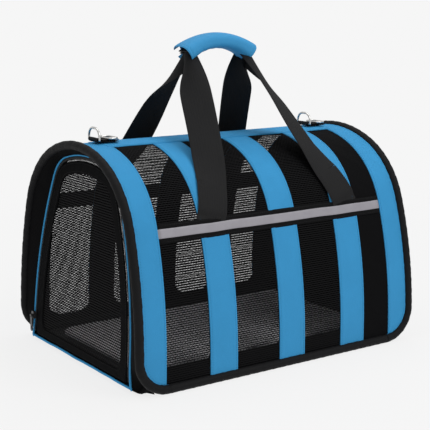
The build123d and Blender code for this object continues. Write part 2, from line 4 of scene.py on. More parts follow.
import bmesh
import bpy
import numpy as np
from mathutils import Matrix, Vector

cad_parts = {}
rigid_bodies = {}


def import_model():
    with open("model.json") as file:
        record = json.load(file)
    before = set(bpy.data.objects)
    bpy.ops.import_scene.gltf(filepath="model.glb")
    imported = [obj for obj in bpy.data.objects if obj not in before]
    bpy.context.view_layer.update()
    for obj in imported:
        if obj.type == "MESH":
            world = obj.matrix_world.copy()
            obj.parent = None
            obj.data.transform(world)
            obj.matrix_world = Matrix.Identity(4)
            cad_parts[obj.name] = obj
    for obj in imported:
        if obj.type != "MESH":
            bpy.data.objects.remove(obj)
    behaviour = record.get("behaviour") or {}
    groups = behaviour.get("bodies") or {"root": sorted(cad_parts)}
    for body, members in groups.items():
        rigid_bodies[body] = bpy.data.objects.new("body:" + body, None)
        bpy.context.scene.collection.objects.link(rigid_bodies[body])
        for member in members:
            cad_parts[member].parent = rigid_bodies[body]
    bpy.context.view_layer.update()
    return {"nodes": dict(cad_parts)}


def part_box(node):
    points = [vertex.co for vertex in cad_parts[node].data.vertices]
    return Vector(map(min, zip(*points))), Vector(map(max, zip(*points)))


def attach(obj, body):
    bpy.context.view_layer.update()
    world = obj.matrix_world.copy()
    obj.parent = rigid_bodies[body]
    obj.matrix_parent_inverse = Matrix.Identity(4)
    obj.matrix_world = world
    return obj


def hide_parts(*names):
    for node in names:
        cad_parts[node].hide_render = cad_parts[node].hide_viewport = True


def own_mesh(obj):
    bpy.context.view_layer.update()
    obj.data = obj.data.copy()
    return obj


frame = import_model()

# Soft-sided pet carrier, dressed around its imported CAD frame. Metres, +Z up, -Y is the front.
mm = 0.001


# --- Camera -----------------------------------------------------------------------------
CAMERA_PLACE = (-0.853, -1.233, 0.468)
CAMERA_YAW = 34.64          # degrees, to the right of straight at the front
CAMERA_PITCH = 10.97        # degrees, downwards
CAMERA_LENS = 91.0          # millimetres on a 36 mm frame


def make_camera():
    camera = bpy.data.objects.new("camera", bpy.data.cameras.new("camera"))
    bpy.context.scene.collection.objects.link(camera)
    camera.location = CAMERA_PLACE
    camera.rotation_euler = (math.radians(90 - CAMERA_PITCH), 0, math.radians(-CAMERA_YAW))
    camera.data.sensor_width = 36.0
    camera.data.lens = CAMERA_LENS
    camera.data.clip_end = 60.0
    bpy.context.scene.camera = camera


make_camera()


# --- Sizes, read from the frame where the frame has them ----------------------------------
wall_low, wall_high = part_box("back_mesh_wall")
WALL_Y = wall_high.y                    # outer face of the mesh walls
RIDGE_Z = wall_high.z                   # outer face of the mesh at the ridge
FOOT_Z = wall_low.z                     # the walls' foot, on the bottom welts
WELT_RADIUS = (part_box("back_bottom_welt")[1].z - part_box("back_bottom_welt")[0].z) / 2
PANEL_X = 219.8 * mm                    # each end panel, at the ground
PANEL_LEAN = math.radians(4.0)          # end panels lean inwards
PANEL_Y = 133.0 * mm                    # half width of an end panel, to its piping
PANEL_TOP = 277.5 * mm
LEAN = math.radians(1.2)                # the arch welts lean less
CORNER_RADIUS = 47.0 * mm               # rounded lower corners, seen from the side
END_X = 227.5 * mm + CORNER_RADIUS * math.tan(LEAN)
BAND_INSET = 2 * WELT_RADIUS + 0.2 * mm
BAND_WIDTH = 32.0 * mm
STRIPE_WIDTH = 42.0 * mm
STRIPES = {
    name: (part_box(f"back_{name}_stripe")[0].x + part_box(f"back_{name}_stripe")[1].x) / 2
    for name in ("left", "middle", "right")
}
RIDGE_HALF_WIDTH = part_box("ridge_band")[1].y
TAPE_Z = (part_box("back_tape")[0].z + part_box("back_tape")[1].z) / 2
TAPE_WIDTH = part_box("back_tape")[1].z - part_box("back_tape")[0].z
REFLECTIVE_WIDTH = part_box("back_reflective_strip")[1].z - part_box("back_reflective_strip")[0].z

WALL_SAG = 2.2 * mm                     # the walls sink in this far between the framed arches
SKIN_LIFT = 0.15 * mm                   # stripes and bands above the mesh's outer face
SKIN_THICKNESS = 0.9 * mm
TAPE_LIFT = 1.25 * mm
TAPE_THICKNESS = 0.8 * mm


# --- The arch as a surface ----------------------------------------------------------------
def arch_profile(half_width, top, skirt, shoulder, crown_end, shoulder_end):
    """An arch of three tangent arcs above a skirt: distance from its top, y, z and the normal's angle."""
    crown_end, shoulder_end = math.radians(crown_end), math.radians(shoulder_end)
    s1, c1 = math.sin(crown_end), math.cos(crown_end)
    s2, c2 = math.sin(shoulder_end), math.cos(shoulder_end)
    across = half_width - shoulder * (s2 - s1)
    down = top - skirt - shoulder * (c1 - c2)
    determinant = s1 * c2 - (1 - s2) * (1 - c1)
    crown = (across * c2 - down * (1 - s2)) / determinant
    side = (down * s1 - across * (1 - c1)) / determinant
    angle = np.radians(np.linspace(0, 90, 721))
    radius = np.where(angle < crown_end, crown, np.where(angle < shoulder_end, shoulder, side))
    middle = (angle[1:] + angle[:-1]) / 2
    step = np.diff(angle) * radius[:-1]
    y = np.concatenate([[0], np.cumsum(step * np.cos(middle))])
    z = top - np.concatenate([[0], np.cumsum(step * np.sin(middle))])
    y *= half_width / y[-1]
    s = np.concatenate([[0], np.cumsum(step)])
    return np.append(s, s[-1] + z[-1]), np.append(y, y[-1]), np.append(z, 0.0), np.append(angle, angle[-1])


WALL_ARCH = arch_profile(WALL_Y, RIDGE_Z, 40.0 * mm, 120.5 * mm, 25.0, 73.1)
PANEL_ARCH = arch_profile(PANEL_Y, PANEL_TOP, 30.0 * mm, 50.0 * mm, 15.0, 66.0)
ARCH_S, ARCH_Y, ARCH_Z, ARCH_ANGLE = WALL_ARCH


def s_at_height(z):
    """Distance along the arch from the ridge down to a height."""
    return np.interp(-np.asarray(z, float), -ARCH_Z, ARCH_S)


def height_at(s):
    return np.interp(np.abs(s), ARCH_S, ARCH_Z)


S_FOOT = float(s_at_height(FOOT_Z))
S_TAPE = float(s_at_height(TAPE_Z))
SEWN_IN = 3.0 * mm                      # cloth reaches this far into a welt


def wall_sag(x, s):
    """How far the cloth sinks in between the two framed arches."""
    across = np.clip(1 - (x / (190 * mm)) ** 2, 0, 1)
    down = np.sin(np.pi * np.clip(np.abs(s) / S_FOOT, 0, 1)) ** 1.5
    return WALL_SAG * across * down


def dome(x, s, lift=0.0):
    """Points over the saddle: x along it, s along the arch (front side negative), lift outwards."""
    x, s, lift = np.broadcast_arrays(np.asarray(x, float), np.asarray(s, float), np.asarray(lift, float))
    side = np.where(s < 0, -1.0, 1.0)
    away = np.abs(s)
    angle = np.interp(away, ARCH_S, ARCH_ANGLE)
    out = lift - wall_sag(x, s)
    y = side * (np.interp(away, ARCH_S, ARCH_Y) + out * np.sin(angle))
    z = np.interp(away, ARCH_S, ARCH_Z) + out * np.cos(angle)
    return np.stack([x, y, z], -1)


def outline_x(z, inset):
    """Half length of the saddle's side outline at a height, inside it by an inset."""
    z = np.asarray(z, float)
    leaning = END_X - z * math.tan(LEAN) - inset / math.cos(LEAN)
    centre_z = CORNER_RADIUS
    radius = CORNER_RADIUS - inset
    centre_x = END_X - centre_z * math.tan(LEAN) - inset / math.cos(LEAN) - radius / math.cos(LEAN)
    rounded = centre_x + np.sqrt(np.clip(radius ** 2 - (centre_z - z) ** 2, 0, None))
    return np.where(z < centre_z, np.minimum(rounded, leaning), leaning)


def band_inner_x(z):
    """Inner edge of an end band."""
    return END_X - BAND_INSET / math.cos(LEAN) - BAND_WIDTH - np.asarray(z, float) * math.tan(LEAN)


def wobble(t, wavelength, seed):
    """Smooth seeded unevenness along t, from about -1 to 1."""
    t = np.asarray(t, float)
    draw = np.random.default_rng(seed)
    total = np.zeros_like(t)
    for octave in range(3):
        phase, stretch = draw.uniform(0, 2 * np.pi), draw.uniform(0.8, 1.25)
        total += np.sin(2 * np.pi * t * stretch * 1.7 ** octave / wavelength + phase) / 1.6 ** octave
    return total / 2.0


# --- Mesh building ------------------------------------------------------------------------
def grid_faces(rows, columns, wrap_rows=False, wrap_columns=False):
    r = np.arange(rows if wrap_rows else rows - 1)[:, None]
    c = np.arange(columns if wrap_columns else columns - 1)[None, :]
    r1, c1 = (r + 1) % rows, (c + 1) % columns
    corners = [r * columns + c, r * columns + c1, r1 * columns + c1, r1 * columns + c]
    return np.stack(np.broadcast_arrays(*corners), -1).reshape(-1, 4)


class Patch:
    """Vertices and faces gathered for one mesh."""

    def __init__(self):
        self.points, self.uvs, self.faces, self.size = [], [], [], 0

    def add(self, points, faces, uvs=None):
        points = np.asarray(points, float).reshape(-1, 3)
        self.points.append(points)
        self.uvs.append(points[:, :2] if uvs is None else np.asarray(uvs, float).reshape(-1, 2))
        self.faces += (np.asarray(faces) + self.size).tolist()
        self.size += len(points)

    def sheet(self, outer, inner, uvs=None):
        """A thin closed sheet between two grids of points."""
        rows, columns = outer.shape[:2]
        count = rows * columns
        index = np.arange(count).reshape(rows, columns)
        front = grid_faces(rows, columns)
        back = front[:, ::-1] + count
        border = np.concatenate([index[0, :-1], index[:-1, -1], index[-1, :0:-1], index[:0:-1, 0]])
        following = np.roll(border, -1)
        rim = np.stack([border, border + count, following + count, following], -1)
        both = None if uvs is None else np.concatenate([uvs.reshape(-1, 2)] * 2)
        self.add(
            np.concatenate([outer.reshape(-1, 3), inner.reshape(-1, 3)]),
            np.concatenate([front, back, rim]), both)

    def layer(self, x, s, outer, inner):
        """A thin closed sheet over the saddle, between two lifts."""
        self.sheet(dome(x, s, outer), dome(x, s, inner), np.stack([x, s], -1))

    def rings(self, rings, closed=False, uvs=None):
        """A tube through rings of points, capped unless it closes on itself."""
        count, around = rings.shape[:2]
        faces = grid_faces(count, around, wrap_rows=closed, wrap_columns=True)
        start = self.size
        self.add(rings, faces, uvs)
        if not closed:
            self.faces.append([start + i for i in range(around)][::-1])
            self.faces.append([start + (count - 1) * around + i for i in range(around)])

    def many(self, tubes):
        """Many short capped tubes at once: tubes is (how many, rings, around, 3)."""
        how_many, count, around = tubes.shape[:3]
        one = grid_faces(count, around, wrap_columns=True)
        shifts = (np.arange(how_many) * count * around)[:, None, None]
        faces = (one[None] + shifts).reshape(-1, 4)
        start = self.size
        self.add(tubes, faces)
        first = np.arange(around)[None, ::-1] + shifts[:, 0] + start
        last = np.arange(around)[None, :] + (count - 1) * around + shifts[:, 0] + start
        self.faces += first.tolist() + last.tolist()


def finish_mesh(name, patch, material, slot, *stands_for, body="shell", sharp=38, recalculate=True):
    """One Blender piece from a patch, riding on a CAD body."""
    mesh = bpy.data.meshes.new(name)
    mesh.from_pydata(np.concatenate(patch.points).tolist(), [], patch.faces)
    uv = mesh.uv_layers.new(name="cloth")
    loop_vertex = np.zeros(len(mesh.loops), np.int32)
    mesh.loops.foreach_get("vertex_index", loop_vertex)
    uv.data.foreach_set("uv", np.concatenate(patch.uvs)[loop_vertex].ravel())
    if recalculate:
        work = bmesh.new()
        work.from_mesh(mesh)
        bmesh.ops.recalc_face_normals(work, faces=work.faces)
        work.to_mesh(mesh)
        work.free()
    mesh.shade_smooth()
    mesh.set_sharp_from_angle(angle=math.radians(sharp))
    mesh.materials.append(material)
    piece = bpy.data.objects.new(name, mesh)
    bpy.context.scene.collection.objects.link(piece)
    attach(piece, body)
    if stands_for:
        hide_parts(*stands_for)
    return piece


def finish_thread(name, patch, thread, slot, body="shell"):
    """Stitches as a piece: they face outwards already, and stand for no CAD node."""
    finish_mesh(name, patch, thread, slot, body=body, recalculate=False)


def unit(vectors):
    vectors = np.asarray(vectors, float)
    return vectors / np.maximum(np.linalg.norm(vectors, axis=-1, keepdims=True), 1e-12)


def tangents(points):
    return unit(np.gradient(points, axis=0))


def lengths(points):
    """Distance along a line up to each of its points."""
    return np.concatenate([[0], np.cumsum(np.linalg.norm(np.diff(points, axis=0), axis=1))])


def sampled(values, run, at):
    """Vectors given along a line, read at other distances along it."""
    return np.stack([np.interp(at, run, values[:, k]) for k in range(3)], -1)


def even(points, spacing):
    """The same line, resampled to an even spacing."""
    points = np.asarray(points, float)
    run = lengths(points)
    count = max(2, int(round(run[-1] / spacing)) + 1)
    return sampled(points, run, np.linspace(0, run[-1], count))


def ease(value):
    """Smooth step from 0 to 1."""
    value = np.clip(value, 0, 1)
    return value ** 2 * (3 - 2 * value)


def dome_frame(x, s, lift):
    """Points over the saddle and its outward normals there."""
    points = dome(x, s, lift)
    return points, unit(dome(x, s, lift + mm) - points)


STITCH_LENGTH, STITCH_PITCH = 2.4 * mm, 3.3 * mm
STITCH_WIDTH, STITCH_HEIGHT = 0.42 * mm, 0.3 * mm


def stitch_run(patch, points, normals, seed):
    """A row of lock stitches lying on a surface along a line."""
    points, normals = np.asarray(points, float), np.asarray(normals, float)
    run = lengths(points)
    starts = np.arange(STITCH_PITCH / 2, run[-1] - STITCH_LENGTH, STITCH_PITCH)
    if len(starts) == 0:
        return
    draw = np.random.default_rng(seed)
    starts = starts + draw.uniform(-0.12, 0.12, len(starts)) * mm
    where = starts[:, None] + np.array([0.0, 0.22, 0.5, 0.78, 1.0]) * STITCH_LENGTH
    swell = np.array([0.35, 0.9, 1.0, 0.9, 0.35])
    sink = np.array([-0.25, 0.05, 0.2, 0.05, -0.25]) * mm
    centre = sampled(points, run, where)
    up = unit(sampled(normals, run, where))
    along = unit(centre[:, -1:] - centre[:, :1])
    across = unit(np.cross(up, np.broadcast_to(along, up.shape)))
    slant = draw.normal(0, 0.05, len(starts))[:, None, None] * (where - where[:, 2:3])[..., None] / 2
    centre = centre + across * slant + up * sink[None, :, None]
    corners = []
    for turn in np.arange(6) * np.pi / 3:
        offset = across * math.cos(turn) * STITCH_WIDTH / 2 + up * math.sin(turn) * STITCH_HEIGHT / 2
        corners.append(centre + offset * swell[None, :, None])
    patch.many(np.stack(corners, 2))


# --- Materials ----------------------------------------------------------------------------
WAVE_SCALE = 314.0          # wave texture's scale for one band per millimetre


class Surface:
    """A material being built: its node tree, its shader and the piece's own coordinates."""

    def __init__(self, name):
        self.material = bpy.data.materials.new(name)
        self.material.use_nodes = True
        self.tree = self.material.node_tree
        self.shader = self.tree.nodes["Principled BSDF"]
        self.place = self.node("TexCoord").outputs["Object"]

    def feed(self, socket, value):
        """Join another node's output to a socket, or set the socket's own value."""
        if hasattr(value, "is_output"):
            self.tree.links.new(value, socket)
        else:
            socket.default_value = value

    def feed_all(self, node, **inputs):
        for key, value in inputs.items():
            self.feed(node.inputs[key.replace("_", " ")], value)

    def node(self, kind, **inputs):
        node = self.tree.nodes.new("ShaderNode" + kind)
        self.feed_all(node, **inputs)
        return node

    def mix(self, factor, low, high):
        node = self.node("Mix")
        node.data_type = "RGBA"
        self.feed(node.inputs["Factor"], factor)
        for socket, colour in zip([i for i in node.inputs if i.type == "RGBA"], (low, high)):
            self.feed(socket, (*colour, 1) if isinstance(colour, tuple) else colour)
        return [o for o in node.outputs if o.type == "RGBA"][0]

    def math(self, operation, first, second):
        node = self.node("Math")
        node.operation = operation
        for socket, value in zip(node.inputs, (first, second)):
            self.feed(socket, value)
        return node.outputs[0]

    def blend(self, first, share, second, other):
        """first * share + second * other"""
        scaled = [self.math("MULTIPLY", *pair) for pair in ((first, share), (second, other))]
        return self.math("ADD", *scaled)

    def noise(self, scale, detail=3.0, roughness=0.55):
        texture = self.node("TexNoise", Scale=scale, Detail=detail, Roughness=roughness, Vector=self.place)
        return texture.outputs["Fac"]

    def waves(self, coordinates, direction, scale, distortion):
        wave = self.node("TexWave", Scale=scale, Distortion=distortion, Detail=1.0, Detail_Scale=1.5,
                         Vector=coordinates)
        wave.bands_direction = direction
        return wave.outputs["Fac"]

    def finish(self, colour, height, depth, **constants):
        """Join the colour and a bump of this many millimetres, and set the shader's constants."""
        bump = self.node("Bump", Strength=1.0, Distance=depth * mm, Height=height)
        self.feed_all(self.shader, Base_Color=colour, Normal=bump.outputs["Normal"], **constants)
        return self.material


def shade(colour, factor):
    return tuple(c * factor for c in colour)


def woven(name, colour, thread=0.9, roughness=0.85, specular=0.10, depth=0.12):
    """Plain-weave cloth: crossing yarns from the cloth's own coordinates, with uneven dye."""
    made = Surface(name)
    cloth_place = made.node("UVMap").outputs["UV"]
    warp, weft = (made.waves(cloth_place, direction, WAVE_SCALE / thread, 0.6) for direction in "XY")
    yarns = made.math("MAXIMUM", warp, weft)
    fibres = made.noise(900.0, 2.0)
    tone = made.blend(made.noise(28.0, 4.0), 0.6, fibres, 0.4)
    cloth = made.mix(tone, shade(colour, 0.90), shade(colour, 1.232))
    height = made.blend(yarns, 1.0, fibres, 0.5)
    return made.finish(made.mix(yarns, shade(colour, 0.80), cloth), height, depth,
                       Roughness=roughness, Specular_IOR_Level=specular)


def yarn(name, colour, roughness=0.5, specular=0.12):
    """Twisted thread, as in the mesh and the stitches."""
    made = Surface(name)
    fibres = made.noise(1400.0, 2.0)
    return made.finish(made.mix(fibres, shade(colour, 0.70), shade(colour, 1.35)), fibres, 0.1,
                       Roughness=roughness, Specular_IOR_Level=specular)


def plush(name, colour):
    """Brushed pad cloth: soft, mottled and slightly ribbed."""
    made = Surface(name)
    pile = made.noise(700.0)
    tone = made.blend(pile, 0.5, made.noise(16.0), 0.5)
    height = made.blend(pile, 1.0, made.waves(made.place, "Y", 30.0, 1.2), 0.6)
    return made.finish(made.mix(tone, shade(colour, 0.78), shade(colour, 1.20)), height, 0.4,
                       Roughness=0.95, Sheen_Weight=0.4, Sheen_Roughness=0.4, Specular_IOR_Level=0.15)


def reflective(name, worn, fresh):
    """Grey retroreflective tape: fine beads under a soft gloss."""
    made = Surface(name)
    beads = made.node("TexVoronoi", Scale=1600.0, Vector=made.place)
    return made.finish(made.mix(made.noise(60.0, 5.0), worn, fresh), beads.outputs["Distance"], 0.05,
                       Roughness=0.48, Metallic=0.25, Specular_IOR_Level=0.4)


def steel(name, colour, roughness):
    """Plated steel with faint handling marks."""
    made = Surface(name)
    marks = made.noise(240.0, 6.0, 0.7)
    spread = made.node("MapRange", To_Min=roughness * 0.7, To_Max=roughness * 1.6, Value=marks)
    return made.finish(made.mix(marks, shade(colour, 0.82), colour), marks, 0.02,
                       Roughness=spread.outputs["Result"], Metallic=1.0)


def moulded(name, colour, roughness):
    """Moulded plastic with a fine grain."""
    made = Surface(name)
    grain = made.noise(1500.0, 2.0)
    return made.finish(made.mix(grain, shade(colour, 0.85), shade(colour, 1.15)), grain, 0.05,
                       Roughness=roughness)


BLUE_COLOUR = (0.036, 0.26, 0.517)
BLACK_COLOUR = (0.0038, 0.0038, 0.0042)
BLUE = woven("blue oxford cloth", BLUE_COLOUR, roughness=0.72, specular=0.15)
GRIP_BLUE = woven("blue grip cloth", BLUE_COLOUR, thread=0.8, roughness=0.6, specular=0.22)
BLACK = woven("black oxford cloth", BLACK_COLOUR, roughness=0.8, specular=0.04, depth=0.1)
WELT_BLACK = woven("black welt cloth", (0.0062, 0.0062, 0.0068), thread=0.8, roughness=0.62, specular=0.12)
WEBBING = woven("black webbing", (0.0105, 0.0105, 0.011), thread=1.4, roughness=0.7, specular=0.14, depth=0.2)
TAPE = woven("black tape", BLACK_COLOUR, thread=1.2, roughness=0.75, specular=0.08, depth=0.15)
MESH = yarn("black mesh yarn", (0.0045, 0.0045, 0.005), roughness=0.7, specular=0.08)
DOOR_MESH = yarn("black door mesh yarn", (0.0045, 0.0045, 0.005), roughness=0.7, specular=0.08)
BLUE_THREAD = yarn("blue thread", (0.022, 0.16, 0.33))
BLACK_THREAD = yarn("black thread", (0.012, 0.012, 0.013), roughness=0.45)
PAD = plush("grey pad cloth", (0.68, 0.67, 0.69))
REFLECTIVE = reflective("reflective tape", (0.235, 0.225, 0.25), (0.31, 0.30, 0.325))
STEEL = steel("nickel plated steel", (0.72, 0.71, 0.69), 0.24)
SPRING_STEEL = steel("spring steel wire", (0.45, 0.44, 0.43), 0.35)
ZIP = moulded("zip nylon", (0.014, 0.014, 0.015), 0.38)
LACQUER = moulded("black lacquered die-casting", (0.02, 0.02, 0.021), 0.32)
BOARD = moulded("black board", (0.012, 0.012, 0.013), 0.5)


# --- Cloth laid over the dome -------------------------------------------------------------
HEM = 7.0 * mm              # cloth turned under along an edge
HEM_LIFT = 0.35 * mm        # how much thicker it is there
SEAM_INSET = 2.8 * mm       # stitches from an edge
HEM_PUCKER = 0.16 * mm      # waviness along an edge
LINING_LIFT = -1.2 * mm     # inner face of the layer behind a stripe
LINING_THICKNESS = 0.5 * mm


def hem_profile(distance):
    """Lift of a hemmed cloth's outer face at this distance from its edge."""
    rounding = np.sqrt(np.clip(1 - (1 - np.clip(distance / (0.7 * mm), 0, 1)) ** 2, 0, 1))
    doubled = HEM_LIFT * (1 - 1 / (1 + np.exp(-(distance - HEM) / (0.5 * mm))))
    dimple = 0.22 * mm * np.exp(-((distance - SEAM_INSET) / (0.75 * mm)) ** 2)
    return (SKIN_THICKNESS + doubled) * rounding - dimple * rounding


def across_stations(width, coarse=5.0 * mm):
    """Places across a hemmed strip: close together at its edges, wider apart between."""
    edge = np.array([0.0, 0.12, 0.35, 0.8, 1.6, 2.2, 2.8, 3.4, 4.2, 5.6, 6.4, 7.0, 7.6, 8.6]) * mm
    edge = edge[edge < width / 2 - 0.5 * mm]
    count = max(3, int((width - 2 * edge[-1]) / coarse) + 2)
    inner = np.linspace(edge[-1], width - edge[-1], count)[1:-1]
    return np.concatenate([edge, inner, width - edge[::-1]])


def hemmed_strip(patch, low_x, high_x, s_values, lift, seed, hem_low=True, hem_high=True):
    """Cloth between two edges given as functions of height, along s_values of the arch."""
    s_values = np.asarray(s_values, float)
    z = height_at(s_values)
    low, high = low_x(z), high_x(z)
    widest = float(np.max(high - low))
    share = across_stations(widest) / widest
    x = low[:, None] + (high - low)[:, None] * share[None, :]
    width = (high - low)[:, None]
    from_low, from_high = x - low[:, None], high[:, None] - x
    distance = np.minimum(from_low if hem_low else width, from_high if hem_high else width)
    s = np.broadcast_to(s_values[:, None], x.shape)
    along = wobble(s, 11 * mm, seed) * HEM_PUCKER * np.exp(-distance / (7 * mm))
    belly = wobble(s, 90 * mm, seed + 50) * 0.35 * mm * np.sin(np.pi * np.clip(from_low / width, 0, 1))
    patch.layer(x, s, lift + hem_profile(distance) + along + belly, lift - 0.1 * mm + np.minimum(0, along))


def edge_stitches(patch, edge_x, s_values, inward, lift, seed, inset=SEAM_INSET):
    """Stitches along an edge of a hemmed strip."""
    s_values = np.asarray(s_values, float)
    x = edge_x(height_at(s_values)) + inward * inset
    top = lift + SKIN_THICKNESS + HEM_LIFT - 0.1 * mm
    stitch_run(patch, *dome_frame(x, s_values, top), seed=seed)


def laid_between(low_x, high_x, s_values, count):
    """Grid of x and s between two edges, and each column's share of the way across."""
    z = height_at(s_values)
    share = np.linspace(0, 1, count)
    x = low_x(z)[:, None] + (high_x(z) - low_x(z))[:, None] * share
    return x, np.broadcast_to(s_values[:, None], x.shape), share


def lining(patch, low_x, high_x, s_values):
    """Plain inner layer behind a stripe or band, its foot sewn into the welt."""
    s_values = np.asarray(s_values, float)
    s_values = s_values * np.where(np.abs(s_values) > S_FOOT - 1e-6, (S_FOOT + SEWN_IN) / S_FOOT, 1.0)
    x, s, _ = laid_between(low_x, high_x, s_values, 9)
    patch.layer(x, s, LINING_LIFT + LINING_THICKNESS, LINING_LIFT)


def constant(value):
    return lambda z: np.full_like(np.asarray(z, float), value)


def arch_stations(start, end, spacing=4.0 * mm):
    return np.linspace(start, end, max(2, int(abs(end - start) / spacing) + 1))


SIDES = {"front": -1, "back": 1}        # along Y
ENDS = {"left": -1, "right": 1}         # along X


def make_stripes():
    for side_name, side in SIDES.items():
        stitches = Patch()
        behind = Patch()
        for number, (name, centre) in enumerate(STRIPES.items()):
            low, high = constant(centre - STRIPE_WIDTH / 2), constant(centre + STRIPE_WIDTH / 2)
            s_values = side * arch_stations(RIDGE_HALF_WIDTH - 3 * mm, S_FOOT + 1.5 * mm)
            seed = 100 + 10 * number + side
            cloth = Patch()
            hemmed_strip(cloth, low, high, s_values, SKIN_LIFT, seed)
            finish_mesh(f"cloth_{side_name}_{name}_stripe", cloth, BLUE, "blue_fabric",
                        f"{side_name}_{name}_stripe")
            lining(behind, low, high, s_values)
            for edge, inward in ((low, 1), (high, -1)):
                edge_stitches(stitches, edge, s_values, inward, SKIN_LIFT, seed + inward)
        finish_thread(f"stitches_{side_name}_stripes", stitches, BLUE_THREAD, "blue_fabric")
        finish_mesh(f"lining_{side_name}_stripes", behind, BLACK, "black_fabric")


def make_end_bands():
    for side_name, side in ENDS.items():
        s_values = arch_stations(-S_FOOT - 1.5 * mm, S_FOOT + 1.5 * mm, 3.5 * mm)

        def outer_edge(z):
            return side * outline_x(z, BAND_INSET - 1.5 * mm)

        def sewn_edge(z):
            return side * outline_x(z, BAND_INSET - SEWN_IN)

        def inner_edge(z):
            return side * band_inner_x(z)

        low, high = (outer_edge, inner_edge) if side < 0 else (inner_edge, outer_edge)
        cloth, stitches, behind = Patch(), Patch(), Patch()
        hemmed_strip(cloth, low, high, s_values, SKIN_LIFT, 300 + side, hem_low=side > 0, hem_high=side < 0)
        finish_mesh(f"cloth_{side_name}_end_band", cloth, BLUE, "blue_fabric", f"{side_name}_end_band")
        edge_stitches(stitches, inner_edge, s_values, side, SKIN_LIFT, 310 + side)
        edge_stitches(stitches, outer_edge, s_values, -side, SKIN_LIFT - HEM_LIFT, 320 + side, inset=4.2 * mm)
        finish_thread(f"stitches_{side_name}_end_band", stitches, BLUE_THREAD, "blue_fabric")
        low, high = (sewn_edge, inner_edge) if side < 0 else (inner_edge, sewn_edge)
        lining(behind, low, high, s_values)
        finish_mesh(f"lining_{side_name}_end_band", behind, BLACK, "black_fabric")


def make_ridge_band():
    """Band along the top, hemmed along both of its long edges."""
    lift = SKIN_LIFT + 0.55 * mm
    x_end = float(band_inner_x(RIDGE_Z)) + 6 * mm
    x_values = np.linspace(-x_end, x_end, 110)
    s_values = across_stations(2 * RIDGE_HALF_WIDTH) - RIDGE_HALF_WIDTH
    x, s = np.meshgrid(x_values, s_values, indexing="ij")
    edge_wave = wobble(x, 70 * mm, 41) * 0.5 * mm
    s = s + edge_wave * np.sign(s) * np.clip(np.abs(s) / RIDGE_HALF_WIDTH, 0, 1)
    distance = RIDGE_HALF_WIDTH - np.abs(s) + edge_wave * np.sign(s) ** 2
    distance = np.clip(distance, 0, None)
    ripple = wobble(x, 13 * mm, 42) * 0.15 * mm * np.exp(-distance / (8 * mm))
    cloth = Patch()
    cloth.layer(x, s, lift + hem_profile(distance) + ripple, lift - 0.1 * mm)
    finish_mesh("cloth_ridge_band", cloth, BLUE, "blue_fabric", "ridge_band")
    stitches = Patch()
    for sign in (-1, 1):
        line = sign * (RIDGE_HALF_WIDTH - SEAM_INSET)
        top = lift + SKIN_THICKNESS + HEM_LIFT - 0.1 * mm
        stitch_run(stitches, *dome_frame(x_values, line, top), seed=44 + sign)
    finish_thread("stitches_ridge_band", stitches, BLUE_THREAD, "blue_fabric")
    behind = Patch()
    under_s = np.linspace(-RIDGE_HALF_WIDTH, RIDGE_HALF_WIDTH, 13)
    x, s = np.meshgrid(np.linspace(-x_end, x_end, 60), under_s, indexing="ij")
    behind.layer(x, s, -0.5 * mm, -1.0 * mm)
    finish_mesh("lining_ridge_band", behind, BLACK, "black_fabric")


def make_solid_panel():
    """Opaque black cloth between the right stripe and the right end band, at the front."""
    low = constant(STRIPES["right"] + STRIPE_WIDTH / 2 - 1 * mm)
    s_values = -arch_stations(RIDGE_HALF_WIDTH - 3 * mm, S_FOOT + 1.5 * mm)

    def high(z):
        return band_inner_x(z) + 1 * mm

    cloth = Patch()
    x, s, share = laid_between(low, high, s_values, 16)
    belly = 0.5 * mm * wobble(s + x, 60 * mm, 61) * np.sin(np.pi * share)[None, :]
    cloth.layer(x, s, 0.1 * mm + belly, -0.7 * mm + belly)
    finish_mesh("cloth_front_solid_panel", cloth, BLACK, "black_fabric", "front_solid_panel")


# --- Mesh windows -------------------------------------------------------------------------
RIB_PITCH = {"front": 2.8 * mm, "back": 2.0 * mm}      # the back wall's knit is finer and denser
RIB_WIDTH = {"front": 1.44 * mm, "back": 1.50 * mm}
RIB_DEPTH = 0.6 * mm
LINK_PITCH = 5.0 * mm
LINK_WIDTH = 0.75 * mm
RIB_STEP = LINK_PITCH / 4


def rib_swell(x, phase):
    """A rib is widest where a link joins it: +1 there and -1 half way between."""
    return np.cos(2 * np.pi * (x / LINK_PITCH - phase))


def knit_window(patch, low_x, high_x, s_top, s_foot, side, pitch, rib_width):
    """Warp-knit mesh: level ribs joined by short staggered links."""
    count = int((s_foot - s_top) / pitch)
    for row in range(count):
        s = s_top + (row + 0.5) * pitch
        z = float(height_at(s))
        low, high = float(low_x(z)), float(high_x(z))
        x = np.arange(low, high + RIB_STEP, RIB_STEP)
        phase = 0.5 * (row % 2)
        width = rib_width / 2 * (1 + 0.10 * rib_swell(x, phase) + 0.10 * rib_swell(x, phase + 0.5))
        drift = 0.12 * mm * wobble(x, 23 * mm, row)
        line = s + drift
        rib = np.stack([
            dome(x, side * (line - width)),
            dome(x, side * line, RIB_DEPTH / 2),
            dome(x, side * (line + width)),
            dome(x, side * line, -RIB_DEPTH / 2)], 1)
        patch.rings(rib)
        if row == count - 1:
            break
        first = math.ceil(low / LINK_PITCH - phase) + phase
        links = np.arange(first, high / LINK_PITCH, 1.0) * LINK_PITCH
        if len(links) == 0:
            continue
        half = LINK_WIDTH / 2
        reach = np.array([0.30, 0.5, 0.70]) * pitch
        waist = np.array([1.5, 0.8, 1.5]) * half
        rows = []
        for up, breadth in zip(reach, waist):
            at = side * (s + up)
            rows.append(np.stack([
                dome(links - breadth, at), dome(links, at, RIB_DEPTH * 0.35),
                dome(links + breadth, at), dome(links, at, -RIB_DEPTH * 0.35)], 1))
        patch.many(np.stack(rows, 1))


